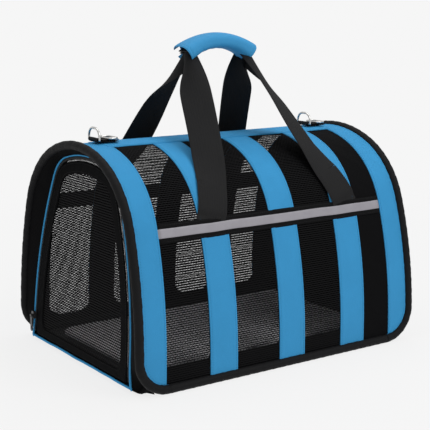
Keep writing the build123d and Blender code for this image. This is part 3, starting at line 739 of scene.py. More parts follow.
def window_edges(side_name):
    """Each window's name and its two edges, as functions of height."""
    margin = 1.5 * mm

    def left_end(z):
        return -band_inner_x(z) - margin

    def right_end(z):
        return band_inner_x(z) + margin

    edges = [left_end]
    for centre in STRIPES.values():
        edges += [constant(centre - STRIPE_WIDTH / 2 + margin), constant(centre + STRIPE_WIDTH / 2 - margin)]
    edges.append(right_end)
    names = ["left", "middle_left", "middle_right", "right"]
    pairs = [(edges[2 * i], edges[2 * i + 1]) for i in range(4)]
    found = list(zip(names, pairs))
    return found if side_name == "back" else found[:3]


def make_windows():
    for side_name, side in SIDES.items():
        for name, (low, high) in window_edges(side_name):
            knit = Patch()
            knit_window(knit, low, high, RIDGE_HALF_WIDTH - 4 * mm, S_FOOT + 2 * mm, side,
                        RIB_PITCH[side_name], RIB_WIDTH[side_name])
            finish_mesh(f"mesh_{side_name}_{name}", knit, MESH, "black_mesh", f"{side_name}_mesh_wall",
                        sharp=75)


# Inner facing's top between the stripes, and the radius that brings it up beside them
FACINGS = {
    "front": (33.0 * mm, 6.0 * mm),
    "back": (23.0 * mm, 20.0 * mm),
}


def make_facings():
    """Inner cloth along the foot of each wall, scalloped up at every stripe."""
    for side_name, side in SIDES.items():
        cloth = Patch()
        facing_z, corner = FACINGS[side_name]
        for _, (low, high) in window_edges("back"):
            left, right = float(low(facing_z)), float(high(facing_z))
            x_values = np.linspace(left, right, 61)
            from_edge = np.minimum(x_values - left, right - x_values)
            rise = corner - np.sqrt(np.clip(corner ** 2 - np.clip(corner - from_edge, 0, None) ** 2, 0, None))
            top = s_at_height(facing_z + rise)
            share = np.linspace(0, 1, 9)
            foot = S_FOOT + SEWN_IN
            s = foot + (top - foot)[:, None] * share
            x = np.broadcast_to(x_values[:, None], s.shape)
            edge_roll = 0.5 * mm * np.exp(-((1 - share) / 0.12) ** 2)[None, :]
            cloth.sheet(dome(x, side * s, -1.3 * mm), dome(x, side * s, -2.1 * mm - edge_roll),
                        np.stack([x, s], -1))
        finish_mesh(f"cloth_{side_name}_facing", cloth, BLACK, "black_fabric", f"{side_name}_inner_facing")


# --- Tapes --------------------------------------------------------------------------------
def level_strip(patch, side, width, lift, thickness, seed, ribs=0):
    """A strip along one wall at the tape's height, from end band to end band."""
    x_end = float(band_inner_x(TAPE_Z)) + 4.0 * mm
    x_values = np.linspace(-x_end, x_end, 230)
    across = np.linspace(-0.5, 0.5, 25)
    x, share = np.meshgrid(x_values, across, indexing="ij")
    s = S_TAPE + share * width + 0.35 * mm * wobble(x, 120 * mm, seed)
    rounding = np.clip(1 - (2 * np.abs(share)) ** 12, 0, 1)
    ribbing = 0.08 * mm * np.cos(2 * np.pi * ribs * share) if ribs else 0.0
    ripple = 0.14 * mm * wobble(x, 19 * mm, seed + 1)
    lift = lift - 2.4 * mm * ease((np.abs(x) - x_end + 8 * mm) / (5 * mm))
    top = lift + thickness * rounding + ribbing + ripple
    patch.sheet(dome(x, side * s, top), dome(x, side * s, lift - 0.2 * mm + ripple), np.stack([x, s], -1))
    return x_values


def make_tapes():
    for side_name, side in SIDES.items():
        tape, strip, stitches = Patch(), Patch(), Patch()
        level_strip(tape, side, TAPE_WIDTH, TAPE_LIFT, TAPE_THICKNESS, 71, ribs=9)
        x_values = level_strip(strip, side, REFLECTIVE_WIDTH, TAPE_LIFT + TAPE_THICKNESS, 0.4 * mm, 71)
        finish_mesh(f"cloth_{side_name}_tape", tape, TAPE, "black_webbing", f"{side_name}_tape")
        finish_mesh(f"cloth_{side_name}_reflective_strip", strip, REFLECTIVE, "reflective_tape",
                    f"{side_name}_reflective_strip")
        for offset in (-TAPE_WIDTH / 2 + 2 * mm, TAPE_WIDTH / 2 - 2 * mm):
            x = x_values[8:-8]
            s = side * (S_TAPE + offset + 0.35 * mm * wobble(x, 120 * mm, 71))
            stitch_run(stitches, *dome_frame(x, s, TAPE_LIFT + TAPE_THICKNESS), seed=73)
        finish_thread(f"stitches_{side_name}_tape", stitches, BLACK_THREAD, "black_webbing")


# --- Welts, gussets and piping ------------------------------------------------------------
def lean_place(side, x_base, y, z, lean=PANEL_LEAN):
    """Points of a plane that stands at x_base and leans inwards, given in that plane."""
    x = side * (x_base - np.asarray(z) * math.sin(lean))
    return np.stack(np.broadcast_arrays(x, y, np.asarray(z) * math.cos(lean)), -1)


def arch_line(inset, foot, spacing=2.0 * mm, arch=WALL_ARCH):
    """Even (y, z) along a whole arch, inside its line by an inset, from front foot to back foot."""
    arch_s, arch_y, arch_z, arch_angle = arch
    s = np.linspace(0, arch_s[-1], 900)
    angle = np.interp(s, arch_s, arch_angle)
    y = np.interp(s, arch_s, arch_y) - inset * np.sin(angle)
    z = np.interp(s, arch_s, arch_z) - inset * np.cos(angle)
    keep = z >= foot - 1e-6
    y, z = y[keep], z[keep]
    points = np.stack([np.zeros(2 * len(y) - 1), np.r_[-y[::-1], y[1:]], np.r_[z[::-1], z[1:]]], -1)
    line = even(points, spacing)
    return line[:, 1], line[:, 2]


def sweep_frames(points, outward):
    """Tangent, sideways and outward unit vectors along a line; outward is only a hint."""
    along = tangents(points)
    out = unit(outward - along * np.sum(outward * along, 1, keepdims=True))
    return along, np.cross(along, out), out


def away_from_middle(points):
    """Outward hints round an arch, away from a line along the cabin."""
    outward = points - np.array([0.0, 0.0, 0.12])
    outward[:, 0] = 0.0
    return outward


def tube_rings(line, aside, out, turn, size):
    """Rings of a tube round a line, from its sideways and outward directions."""
    return (line[:, None, :]
            + (np.sin(turn) * size)[..., None] * aside[:, None, :]
            + (np.cos(turn) * size)[..., None] * out[:, None, :])


def padded_tube(points, outward, radius, seed, crease=0.3 * mm):
    """Rings of a padded, slightly wrinkled tube along a line."""
    along, aside, out = sweep_frames(points, outward)
    run = lengths(points)
    turn = np.linspace(0, 2 * np.pi, 28, endpoint=False)
    bend = np.linalg.norm(np.gradient(along, axis=0), axis=1) / (2 * mm)
    tight = np.clip(bend / 22.0, 0, 1)[:, None]
    ripple = wobble(run[:, None] + 3 * mm * np.cos(turn)[None, :], 17 * mm, seed) * crease
    tucks = -0.5 * mm * tight * np.clip(-np.cos(turn), 0, 1)[None, :] * (
        0.5 + 0.5 * np.cos(2 * np.pi * run / (7.5 * mm)))[:, None]
    return tube_rings(points, aside, out, turn, radius * 0.98 + ripple + tucks)


def arch_welt_line(side):
    """Centre line of an arch welt: lower front bend, arch, lower back bend, with outward hints."""
    inset = WELT_RADIUS
    radius = CORNER_RADIUS - inset
    centre_z = CORNER_RADIUS
    top_x = END_X - centre_z * math.tan(LEAN) - inset / math.cos(LEAN)
    centre_x = top_x - radius / math.cos(LEAN)
    turn = np.linspace(-math.pi / 2, LEAN, 30)
    bend_x, bend_z = centre_x + radius * np.cos(turn), centre_z + radius * np.sin(turn)
    y, z = arch_line(0.0, bend_z[-1] / math.cos(LEAN))
    arch = lean_place(side, END_X - inset / math.cos(LEAN), y, z, LEAN)
    front = np.stack([side * bend_x, np.full_like(bend_x, -WALL_Y), bend_z], -1)
    back = front[::-1] * [1, -1, 1]
    points = even(np.concatenate([front[:-1], arch, back[1:]]), 2.0 * mm)
    return points, away_from_middle(points)


def make_welts():
    for side_name, side in ENDS.items():
        points, outward = arch_welt_line(side)
        cover = Patch()
        cover.rings(padded_tube(points, outward, WELT_RADIUS, 81 + side))
        piece = finish_mesh(f"cloth_{side_name}_arch_welt", cover, WELT_BLACK, "black_fabric",
                            f"{side_name}_arch_welt")
    for side_name, side in SIDES.items():
        low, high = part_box(f"{side_name}_bottom_welt")
        x = np.arange(low.x, high.x, 2.0 * mm)
        centre = np.stack([x, np.full_like(x, (low.y + high.y) / 2), np.full_like(x, (low.z + high.z) / 2)], -1)
        outward = np.tile([0.0, side, -0.2], (len(x), 1))
        cover = Patch()
        cover.rings(padded_tube(centre, outward, WELT_RADIUS, 85 + side, crease=0.22 * mm))
        piece = finish_mesh(f"cloth_{side_name}_bottom_welt", cover, WELT_BLACK, "black_fabric",
                            f"{side_name}_bottom_welt")


PIPING_RADIUS = 1.5 * mm
SILL_Z = 8.0 * mm
SPREAD_HEIGHT = 40.0 * mm   # below this the end panel spreads a little towards its corners
SPREAD = 6.0 * mm


def spread(z):
    """How far the end panel's edge spreads sideways near its foot."""
    return SPREAD * np.clip(1 - np.asarray(z, float) / SPREAD_HEIGHT, 0, 1) ** 2


def make_gussets():
    """Cloth return from each arch welt to the piping of its end panel, and down under the foot."""
    share = np.linspace(0, 1, 16)
    for side_name, side in ENDS.items():
        y, z = arch_line(0.0, 6.5 * mm, 3.0 * mm, PANEL_ARCH)
        outer_y, outer_z = arch_line(WELT_RADIUS * 0.55, 1.5 * mm, 3.0 * mm)
        at = np.linspace(0, 1, len(outer_y))
        grow = np.linspace(0, 1, len(y))
        outer_y, outer_z = np.interp(grow, at, outer_y), np.interp(grow, at, outer_z)
        inner = lean_place(side, PANEL_X + 0.6 * mm, y + np.sign(y) * spread(z), z)
        outline = outline_x(outer_z, WELT_RADIUS)
        low = np.clip(1 - outer_z / (42 * mm), 0, 1)
        outer_x = side * np.maximum(outline, np.minimum(outline + 60 * mm * low, PANEL_X - 22 * mm * low))
        outer = np.stack([outer_x, outer_y, outer_z], -1)
        line = inner[:, None, :] + (outer - inner)[:, None, :] * share[None, :, None]
        along = tangents(inner)
        normal = unit(np.cross(along, outer - inner))
        normal *= np.where(normal[:, :1] * side < 0, -1.0, 1.0)
        run = np.arange(len(y))[:, None] * 3 * mm
        dish = (1.3 + 0.5 * wobble(run, 55 * mm, 91 + side)) * mm * np.sin(np.pi * share)[None, :]
        top = line + normal[:, None, :] * dish[..., None]
        cloth = Patch()
        uvs = np.stack(np.broadcast_arrays(share[None, :] * 14 * mm, run), -1)
        cloth.sheet(top + normal[:, None, :] * 0.5 * mm, top - normal[:, None, :] * 0.5 * mm, uvs)
        finish_mesh(f"cloth_{side_name}_gusset", cloth, BLACK, "black_fabric", f"{side_name}_gusset")


def make_piping():
    """Blue corded piping round each end panel, across its foot too."""
    for side, node in ((-1, "door_piping"), (1, "right_end_piping")):
        y, z = arch_line(0.0, 5 * mm, 1.5 * mm, PANEL_ARCH)
        arch = lean_place(side, PANEL_X + PIPING_RADIUS, y + np.sign(y) * spread(z), z)
        arch[:, 0] -= side * 5 * mm * np.clip(1 - z / (9 * mm), 0, 1) ** 1.5
        cord = Patch()
        sill = sill_line(side)
        for line, hint in ((arch, away_from_middle(arch)), (sill, np.tile([0.0, 0.0, -1.0], (len(sill), 1)))):
            _, aside, out = sweep_frames(line, hint)
            turn = np.linspace(0, 2 * np.pi, 14, endpoint=False)
            size = PIPING_RADIUS * (1 + 0.05 * wobble(np.arange(len(line)) * 1.5 * mm, 6 * mm, 95))[:, None]
            cord.rings(tube_rings(line, aside, out, turn, size))
        finish_mesh(f"cloth_{node}", cord, BLUE, "blue_fabric", node)


def sill_line(side):
    half = PANEL_Y + float(spread(SILL_Z))
    y = np.arange(-half, half, 2.0 * mm)
    return np.stack([np.full_like(y, side * (PANEL_X + PIPING_RADIUS + 0.3 * mm)), y,
                     SILL_Z + 0.5 * mm * wobble(y, 120 * mm, 96)], -1)


# --- The door end -------------------------------------------------------------------------
DOOR_INSET = 7.5 * mm
DOOR_BORDER = 17.0 * mm
DOOR_FOOT = 11.0 * mm
DOOR_SILL = 12.0 * mm       # the border is narrower along the foot
ZIP_INSET = 3.7 * mm


def panel_half_width(z, inset):
    """Half width of an end panel's outline at a height in its own leaning plane."""
    _, arch_y, arch_z, arch_angle = PANEL_ARCH
    y = arch_y - inset * np.sin(arch_angle)
    height = arch_z - inset * np.cos(arch_angle)
    return np.interp(-np.asarray(z, float), -height, y, left=0.0)


def make_door_mesh():
    """The same knit on the door, stretched flat in its border."""
    knit = Patch()
    pitch, link_pitch = 3.3 * mm, 4.4 * mm
    hidden = 6.0 * mm                       # the knit runs this far under the border
    inset = DOOR_INSET + DOOR_BORDER - hidden
    foot = DOOR_FOOT + DOOR_SILL - hidden
    top = PANEL_TOP - inset
    x_plane = PANEL_X + 0.5 * mm
    rows = np.arange(foot, top - 1 * mm, pitch)

    def place(y, z, lift):
        bow = 1.6 * mm * np.clip(1 - (y / PANEL_Y) ** 2, 0, 1) * np.sin(np.pi * np.clip(z / top, 0, 1))
        point = lean_place(-1, x_plane + lift - bow, y, z)
        return point

    for number, z in enumerate(rows):
        half = float(panel_half_width(z, inset))
        if half < 3 * mm:
            continue
        y = np.arange(-half, half + 1.1 * mm, 1.1 * mm)
        phase = 0.5 * (number % 2)
        width = 0.85 * mm * (1 + 0.12 * np.cos(4 * np.pi * y / link_pitch))
        line = z + 0.12 * mm * wobble(y, 21 * mm, number)
        rib = np.stack([place(y, line - width, 0), place(y, line, 0.35 * mm),
                        place(y, line + width, 0), place(y, line, -0.35 * mm)], 1)
        knit.rings(rib)
        if number == len(rows) - 1:
            break
        upper = float(panel_half_width(z + pitch, inset))
        reach = min(half, upper) / link_pitch
        links = (np.arange(math.ceil(-reach - phase), reach - phase) + phase) * link_pitch
        if len(links) == 0:
            continue
        rings = []
        for up, breadth in ((0.28, 0.75), (0.5, 0.42), (0.72, 0.75)):
            at = np.full_like(links, z + up * pitch)
            rings.append(np.stack([place(links - breadth * mm, at, 0), place(links, at, 0.25 * mm),
                                   place(links + breadth * mm, at, 0), place(links, at, -0.25 * mm)], 1))
        knit.many(np.stack(rings, 1))
    finish_mesh("mesh_door", knit, DOOR_MESH, "door_mesh", "door_mesh", body="door", sharp=75)


def door_ring(inset, foot, corner=9.0 * mm, spacing=2.0 * mm):
    """Closed line round the door at an inset: over the arch and along the foot, with rounded foot corners."""
    y, z = arch_line(inset, foot + corner, spacing, PANEL_ARCH)
    side_y = y[-1]
    turn = np.linspace(0, math.pi / 2, 8)[1:]
    corner_y = side_y - corner + corner * np.cos(turn)
    corner_z = foot + corner - corner * np.sin(turn)
    run = np.arange(corner_y[-1] - spacing, -corner_y[-1], -spacing)
    ys = np.concatenate([y, corner_y, run, -corner_y[::-1]])
    zs = np.concatenate([z, corner_z, np.full_like(run, foot), corner_z[::-1]])
    return ys, zs


def make_door_border():
    """Black cloth sewn over the knit's edge, with a turned inner edge and two rows of stitches."""
    stations = 12
    share = np.linspace(0, 1, stations)
    rings = [door_ring(DOOR_INSET + DOOR_BORDER * k, DOOR_FOOT + DOOR_SILL * k,
                       corner=(4 + 8 * k) * mm) for k in share]
    count = 420

    def resample(ring):
        y, z = ring
        closed = np.stack([np.zeros(len(y) + 1), np.r_[y, y[0]], np.r_[z, z[0]]], -1)
        run = lengths(closed)
        at = np.linspace(0, run[-1], count, endpoint=False)
        return np.interp(at, run, closed[:, 1]), np.interp(at, run, closed[:, 2])

    lines = [resample(r) for r in rings]
    y = np.stack([line[0] for line in lines], 1)
    z = np.stack([line[1] for line in lines], 1)
    run = np.arange(count) * 2.4 * mm
    edge = np.minimum(share, 1 - share) * DOOR_BORDER
    rise = 1.2 * mm * np.sqrt(np.clip(1 - (1 - np.clip(edge / (1.2 * mm), 0, 1)) ** 2, 0, 1))
    dimple = 0.25 * mm * np.exp(-((edge - 3.0 * mm) / (0.9 * mm)) ** 2)
    ripple = 0.2 * mm * wobble(run[:, None] + y * 0.2, 24 * mm, 101)
    outer = lean_place(-1, PANEL_X + 1.1 * mm + (rise - dimple)[None, :] + ripple, y, z)
    inner = lean_place(-1, PANEL_X + 0.9 * mm, y, z)
    cloth = Patch()
    rows, columns = outer.shape[:2]
    total = rows * columns
    faces = grid_faces(rows, columns, wrap_rows=True)
    back = faces[:, ::-1] + total
    index = np.arange(total).reshape(rows, columns)
    rims = []
    for column in (0, columns - 1):
        here, following = index[:, column], np.roll(index[:, column], -1)
        rims.append(np.stack([here, following, following + total, here + total], -1))
    cloth.add(np.concatenate([outer.reshape(-1, 3), inner.reshape(-1, 3)]),
              np.concatenate([faces, back] + rims), np.concatenate([np.stack([y, z], -1).reshape(-1, 2)] * 2))
    finish_mesh("cloth_door_border", cloth, BLACK, "black_fabric", "door_border", body="door")
    stitches = Patch()
    for k in (0.18, 0.82):
        ring = door_ring(DOOR_INSET + DOOR_BORDER * k, DOOR_FOOT + DOOR_SILL * k, corner=(4 + 8 * k) * mm)
        line = lean_place(-1, PANEL_X + 2.25 * mm, *resample(ring))
        stitch_run(stitches, line, np.tile([-1.0, 0.0, 0.0], (len(line), 1)), seed=103)
    finish_thread("stitches_door_border", stitches, BLACK_THREAD, "black_fabric", body="door")


def make_zip():
    """Coil zip round the door's arch: tape with a woven edge, and the coil's turns."""
    y, z = arch_line(ZIP_INSET, DOOR_FOOT + 3 * mm, 2.0 * mm, PANEL_ARCH)
    y = y + np.sign(y) * spread(z)
    tape = Patch()
    outward = unit(np.stack([np.zeros_like(y), -np.gradient(z), np.gradient(y)], -1))
    across = np.linspace(-2.4, 3.2, 6) * mm
    line = lean_place(-1, PANEL_X, y, z)
    top = line[:, None, :] + outward[:, None, :] * across[None, :, None]
    front = top + np.array([-0.5 * mm, 0, 0])
    tape.sheet(front, top + np.array([0.2 * mm, 0, 0]),
               np.stack(np.broadcast_arrays(across[None, :], (np.arange(len(y)) * 2 * mm)[:, None]), -1))
    finish_mesh("cloth_door_zip_tape", tape, TAPE, "black_fabric", "door_zip_tape")
    coil = Patch()
    centre = lean_place(-1, PANEL_X + 1.3 * mm, y, z)
    run = lengths(centre)
    pitch = 1.6 * mm
    at = np.arange(0, run[-1], pitch / 8)
    path, out = sampled(centre, run, at), sampled(outward, run, at)
    turn = 2 * np.pi * at / pitch
    helix = path + out * (np.cos(turn) * 1.5 * mm)[:, None]
    helix = helix + np.array([-1.0, 0, 0]) * (np.sin(turn) * 0.75 * mm)[:, None]
    along = tangents(helix)
    side = unit(np.cross(along, [1.0, 0.0, 0.0]))
    up = np.cross(along, side)
    ring = np.linspace(0, 2 * np.pi, 5, endpoint=False)
    coil.rings(helix[:, None, :] + (np.cos(ring)[None, :, None] * side[:, None, :]
                                    + np.sin(ring)[None, :, None] * up[:, None, :]) * 0.38 * mm)
    finish_mesh("coil_door_zip", coil, ZIP, "zip_nylon", "door_zip_coil", sharp=80)


def make_right_panel():
    """Closed right end: taut black cloth, slightly dished, with a stitched margin."""
    inset, foot = -1.0 * mm, SILL_Z - 1.0 * mm
    levels = np.linspace(foot, PANEL_TOP - inset - 0.2 * mm, 60)
    half = panel_half_width(levels, inset) + spread(levels)
    share = np.linspace(-1, 1, 61)
    y = half[:, None] * share
    z = np.broadcast_to(levels[:, None], y.shape)
    dish = 2.5 * mm * (1 - share ** 2)[None, :] * np.sin(np.pi * np.clip(z / PANEL_TOP, 0, 1))
    crease = 0.4 * mm * wobble(y + 0.4 * z, 80 * mm, 111)
    x_base = PANEL_X - 0.2 * mm - dish + crease * (1 - share ** 2)[None, :]
    outer, inner = lean_place(1, x_base, y, z), lean_place(1, x_base - 1.6 * mm, y, z)
    cloth = Patch()
    cloth.sheet(outer, inner, np.stack([y, z], -1))
    finish_mesh("cloth_right_end_panel", cloth, BLACK, "black_fabric", "right_end_panel")
    stitches = Patch()
    ys, zs = arch_line(6 * mm, 8 * mm, 3 * mm, PANEL_ARCH)
    line = lean_place(1, PANEL_X + 0.1 * mm, ys, zs)
    stitch_run(stitches, line, np.tile([1.0, 0.0, 0.0], (len(line), 1)), seed=113)
    finish_thread("stitches_right_end_panel", stitches, BLACK_THREAD, "black_fabric")


# --- Base and pad -------------------------------------------------------------------------
def make_base_cloth():
    """Cloth under the board: its sides sewn into the bottom welts, its ends turned up to the sills."""
    end, flat = PANEL_X - 0.1 * mm, PANEL_X - 13 * mm
    x_values = np.concatenate([
        np.linspace(-end, -flat, 9)[:-1], np.linspace(-flat, flat, 50), np.linspace(flat, end, 9)[1:]])
    rising = np.clip((np.abs(x_values) - flat) / (end - flat), 0, 1)
    half = (WALL_Y - 3 * mm) - (WALL_Y - 3 * mm - PANEL_Y - SPREAD) * rising ** 1.5
    share = np.linspace(-1, 1, 46)
    x = np.broadcast_to(x_values[:, None], (len(x_values), len(share)))
    y = half[:, None] * share
    rise = (SILL_Z - 2.4 * mm) * (rising ** 1.4)[:, None]
    ripple = 0.15 * mm * (wobble(x, 50 * mm, 121) + wobble(y, 60 * mm, 122))
    past = np.clip(np.abs(x) - (END_X - CORNER_RADIUS), 0, CORNER_RADIUS)
    bend = CORNER_RADIUS - np.sqrt(CORNER_RADIUS ** 2 - past ** 2)
    rise = np.maximum(rise, (bend + 2.5 * mm) * ease((np.abs(y) - 145 * mm) / (11 * mm)))
    top = np.stack([x, y, 1.8 * mm + ripple + rise], -1)
    under = np.stack([x, y, 0.25 * mm + np.abs(ripple) * 0.6 + rise * 0.85], -1)
    cloth = Patch()
    cloth.sheet(top, under, np.stack([x, y], -1))
    finish_mesh("cloth_base", cloth, BLACK, "black_fabric", "base_fabric")


def closed_box(name, low, high, inset):
    """A plain closed box as the starting shape of a sewn pad."""
    work = bmesh.new()
    bmesh.ops.create_cube(work, size=1.0)
    bmesh.ops.subdivide_edges(work, edges=work.edges[:], cuts=1, use_grid_fill=True)
    centre, size = (low + high) / 2, (high - low)
    for vertex in work.verts:
        vertex.co = Vector(centre[k] + vertex.co[k] * (size[k] - 2 * inset[k]) for k in range(3))
    mesh = bpy.data.meshes.new(name)
    work.to_mesh(mesh)
    work.free()
    piece = bpy.data.objects.new(name, mesh)
    bpy.context.scene.collection.objects.link(piece)
    return piece


def select_only(piece):
    for other in bpy.context.view_layer.objects:
        other.select_set(False)
    piece.select_set(True)
    bpy.context.view_layer.objects.active = piece


CLOTH_STIFFNESS = 18.0


def puff(piece, pressure, cap, frames):
    """Inflate a closed mesh like a stuffed cloth case, letting no point move further than cap."""
    before = np.array([v.co for v in piece.data.vertices])
    cloth = piece.modifiers.new("Cloth", "CLOTH")
    cloth.settings.use_pressure = True
    cloth.settings.uniform_pressure_force = pressure
    cloth.settings.tension_stiffness = CLOTH_STIFFNESS
    cloth.settings.compression_stiffness = CLOTH_STIFFNESS
    cloth.settings.bending_stiffness = 2.0
    cloth.settings.effector_weights.gravity = 0.0
    cloth.point_cache.frame_start, cloth.point_cache.frame_end = 1, frames
    for number in range(1, frames + 1):
        bpy.context.scene.frame_set(number)
    evaluated = piece.evaluated_get(bpy.context.evaluated_depsgraph_get())
    after = np.array([v.co for v in evaluated.data.vertices])
    piece.modifiers.remove(cloth)
    bpy.context.scene.frame_set(1)
    move = after - before
    far = np.linalg.norm(move, axis=1, keepdims=True)
    move = move * np.minimum(1.0, cap / np.maximum(far, 1e-9))
    piece.data.vertices.foreach_set("co", (before + move).ravel())
    piece.data.update()


def make_pad():
    """Floor pad: a stuffed case, puffed by cloth simulation, with tufting lines."""
    low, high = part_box("floor_pad")
    piece = closed_box("padding_floor_pad", low, high, (2.5 * mm, 2.5 * mm, 2.2 * mm))
    select_only(piece)
    bevel = piece.modifiers.new("Bevel", "BEVEL")
    bevel.width, bevel.segments = 4 * mm, 3
    remesh = piece.modifiers.new("Remesh", "REMESH")
    remesh.mode, remesh.voxel_size = "VOXEL", 5.0 * mm
    bpy.ops.object.modifier_apply(modifier="Bevel")
    bpy.ops.object.modifier_apply(modifier="Remesh")
    puff(piece, 4.0, 3.0 * mm, 16)
    points = np.array([v.co for v in piece.data.vertices])
    points[:, 2] = np.clip(points[:, 2], low.z + 0.1 * mm, None)
    for across in (-1, 1):
        line = (low.x + high.x) / 2 + across * (high.x - low.x) / 6
        dip = 2.4 * mm * np.exp(-((points[:, 0] - line) / (4 * mm)) ** 2)
        upper = points[:, 2] > (low.z + high.z) / 2
        points[upper, 2] -= dip[upper]
    piece.data.vertices.foreach_set("co", points.ravel())
    smooth = piece.modifiers.new("Subdivision", "SUBSURF")
    smooth.levels = smooth.render_levels = 1
    bpy.ops.object.modifier_apply(modifier="Subdivision")
    piece.data.shade_smooth()
    piece.data.materials.append(PAD)
    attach(piece, "floor_pad")
    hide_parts("floor_pad")


# --- Webbing ------------------------------------------------------------------------------
WEBBING_RIBS = 12
WEBBING_GROOVE = 0.16 * mm


def webbing_section(width, thickness):
    """Outline of webbing cut across: lengthwise ribs on both faces and rounded selvedges."""
    across = np.linspace(-0.5, 0.5, WEBBING_RIBS * 6 + 1)
    rounding = np.sqrt(np.clip(1 - np.abs(2 * across) ** 9, 0, 1))
    groove = WEBBING_GROOVE * (0.5 - 0.5 * np.cos(2 * np.pi * WEBBING_RIBS * across)) ** 3
    half = np.maximum(thickness / 2 * rounding - groove * rounding, 0.02 * mm)
    upper = np.stack([across * width, half], -1)
    lower = np.stack([across * width, -half], -1)[::-1]
    return np.concatenate([upper, lower[1:-1]])


def cupped(section, curl):
    """The section rolled about its middle by a curvature per station; positive curls the edges down."""
    across, up = section[None, :, 0], section[None, :, 1]
    curl = np.where(np.abs(curl) < 1e-3, 1e-3, curl)[:, None]
    radius = 1 / curl
    return np.stack([(radius + up) * np.sin(across * curl), (radius + up) * np.cos(across * curl) - radius], -1)


def bezier(control, count):
    t = np.linspace(0, 1, count)[:, None]
    p0, p1, p2, p3 = (np.asarray(p, float) for p in control)
    return (1 - t) ** 3 * p0 + 3 * (1 - t) ** 2 * t * p1 + 3 * (1 - t) * t ** 2 * p2 + t ** 3 * p3


def ribbon(patch, points, normals, width, thickness, curl=None, widths=None):
    """Webbing along a line: normals give its outer face at each station."""
    along = tangents(points)
    normals = unit(normals - along * np.sum(normals * along, 1, keepdims=True))
    across = np.cross(along, normals)
    section = webbing_section(width, thickness)
    curl = np.zeros(len(points)) if curl is None else curl
    shaped = cupped(section, curl)
    if widths is not None:
        shaped = shaped * np.stack([widths / width, np.ones_like(widths)], -1)[:, None, :]
    rings = points[:, None, :] + shaped[..., :1] * across[:, None, :] + shaped[..., 1:] * normals[:, None, :]
    run = lengths(points)
    uvs = np.stack(np.broadcast_arrays(section[None, :, 0], run[:, None]), -1)
    patch.rings(rings, uvs=uvs)


WEBBING_WIDTH = 42.0 * mm
WEBBING_THICKNESS = 1.8 * mm
GRIP_END_X = 53.5 * mm
grip_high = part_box("grip_wrap")[1]
GRIP_DEPTH = 20.0 * mm
GRIP_MID_Z = grip_high.z - GRIP_DEPTH / 2
GRIP_END_Z = GRIP_MID_Z - 17.0 * mm
GRIP_RADIUS = (GRIP_END_X ** 2 + (GRIP_MID_Z - GRIP_END_Z) ** 2) / (2 * (GRIP_MID_Z - GRIP_END_Z))
GRIP_ANGLE = math.asin(GRIP_END_X / GRIP_RADIUS)


def grip_line(share):
    """Point, tangent (+X wards) and upward normal on the grip's bent centre line, share from -1 to 1."""
    angle = np.asarray(share, float) * GRIP_ANGLE
    zero = np.zeros_like(angle)
    level = GRIP_MID_Z - GRIP_RADIUS + GRIP_RADIUS * np.cos(angle)
    point = np.stack([GRIP_RADIUS * np.sin(angle), zero, level], -1)
    along = np.stack([np.cos(angle), zero, -np.sin(angle)], -1)
    up = np.stack([np.sin(angle), zero, np.cos(angle)], -1)
    return point, along, up


LEG_TAPE_X = {"left": -101.0 * mm, "right": 121.0 * mm}       # the webbing's middle at the tape
LEG_RELEASE_X = {"left": -84.5 * mm, "right": 104.0 * mm}     # and where it leaves the dome
# Each free leg's swing out of its straight line, along X and outwards, and its twist in degrees
LEG_BOWS = {
    ("front", "left"): (3.0 * mm, 2.0 * mm, 17.0),
    ("front", "right"): (-5.0 * mm, 2.0 * mm, 18.0),
    ("back", "left"): (-2.0 * mm, 4.0 * mm, -14.0),
    ("back", "right"): (-2.0 * mm, 4.0 * mm, 20.0),
}


def leg_path(side_name, end_name, lift):
    """One leg's middle line: sewn on the dome with its normals, then free up to its top in the grip."""
    side, end = SIDES[side_name], ENDS[end_name]
    anchor_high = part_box(f"{side_name}_{end_name}_handle_anchor")[1]
    low_s = S_TAPE - TAPE_WIDTH / 2 + 6 * mm
    high_s = float(s_at_height(anchor_high.z - 3 * mm))
    s_values = np.linspace(low_s, high_s, 26)
    slant = (s_values - low_s) / (high_s - low_s)
    x = LEG_TAPE_X[end_name] + (LEG_RELEASE_X[end_name] - LEG_TAPE_X[end_name]) * slant
    under_tape = 0.9 * mm
    lift = under_tape + (lift - under_tape) * ease((low_s - s_values - 5 * mm) / (9 * mm))
    sewn, normals = dome_frame(x, side * s_values, lift)
    grip_point, _, grip_up = grip_line(end * 0.93)
    level = 1.6 * mm if side_name == "front" else -1.6 * mm
    top = grip_point + grip_up * level + np.array([0, side * 3.0 * mm, -1.5 * mm])
    sideways, outwards, _ = LEG_BOWS[(side_name, end_name)]
    foot, leaving = sewn[-1], unit((sewn[-1] - sewn[-2])[None])[0]
    reach = np.linalg.norm(top - foot)
    swing = np.array([sideways, side * outwards, 0.0])
    controls = (foot, foot + leaving * reach * 0.22 + swing * 0.3, foot + (top - foot) * 0.70 + swing, top)
    return sewn, normals, bezier(controls, 90), top


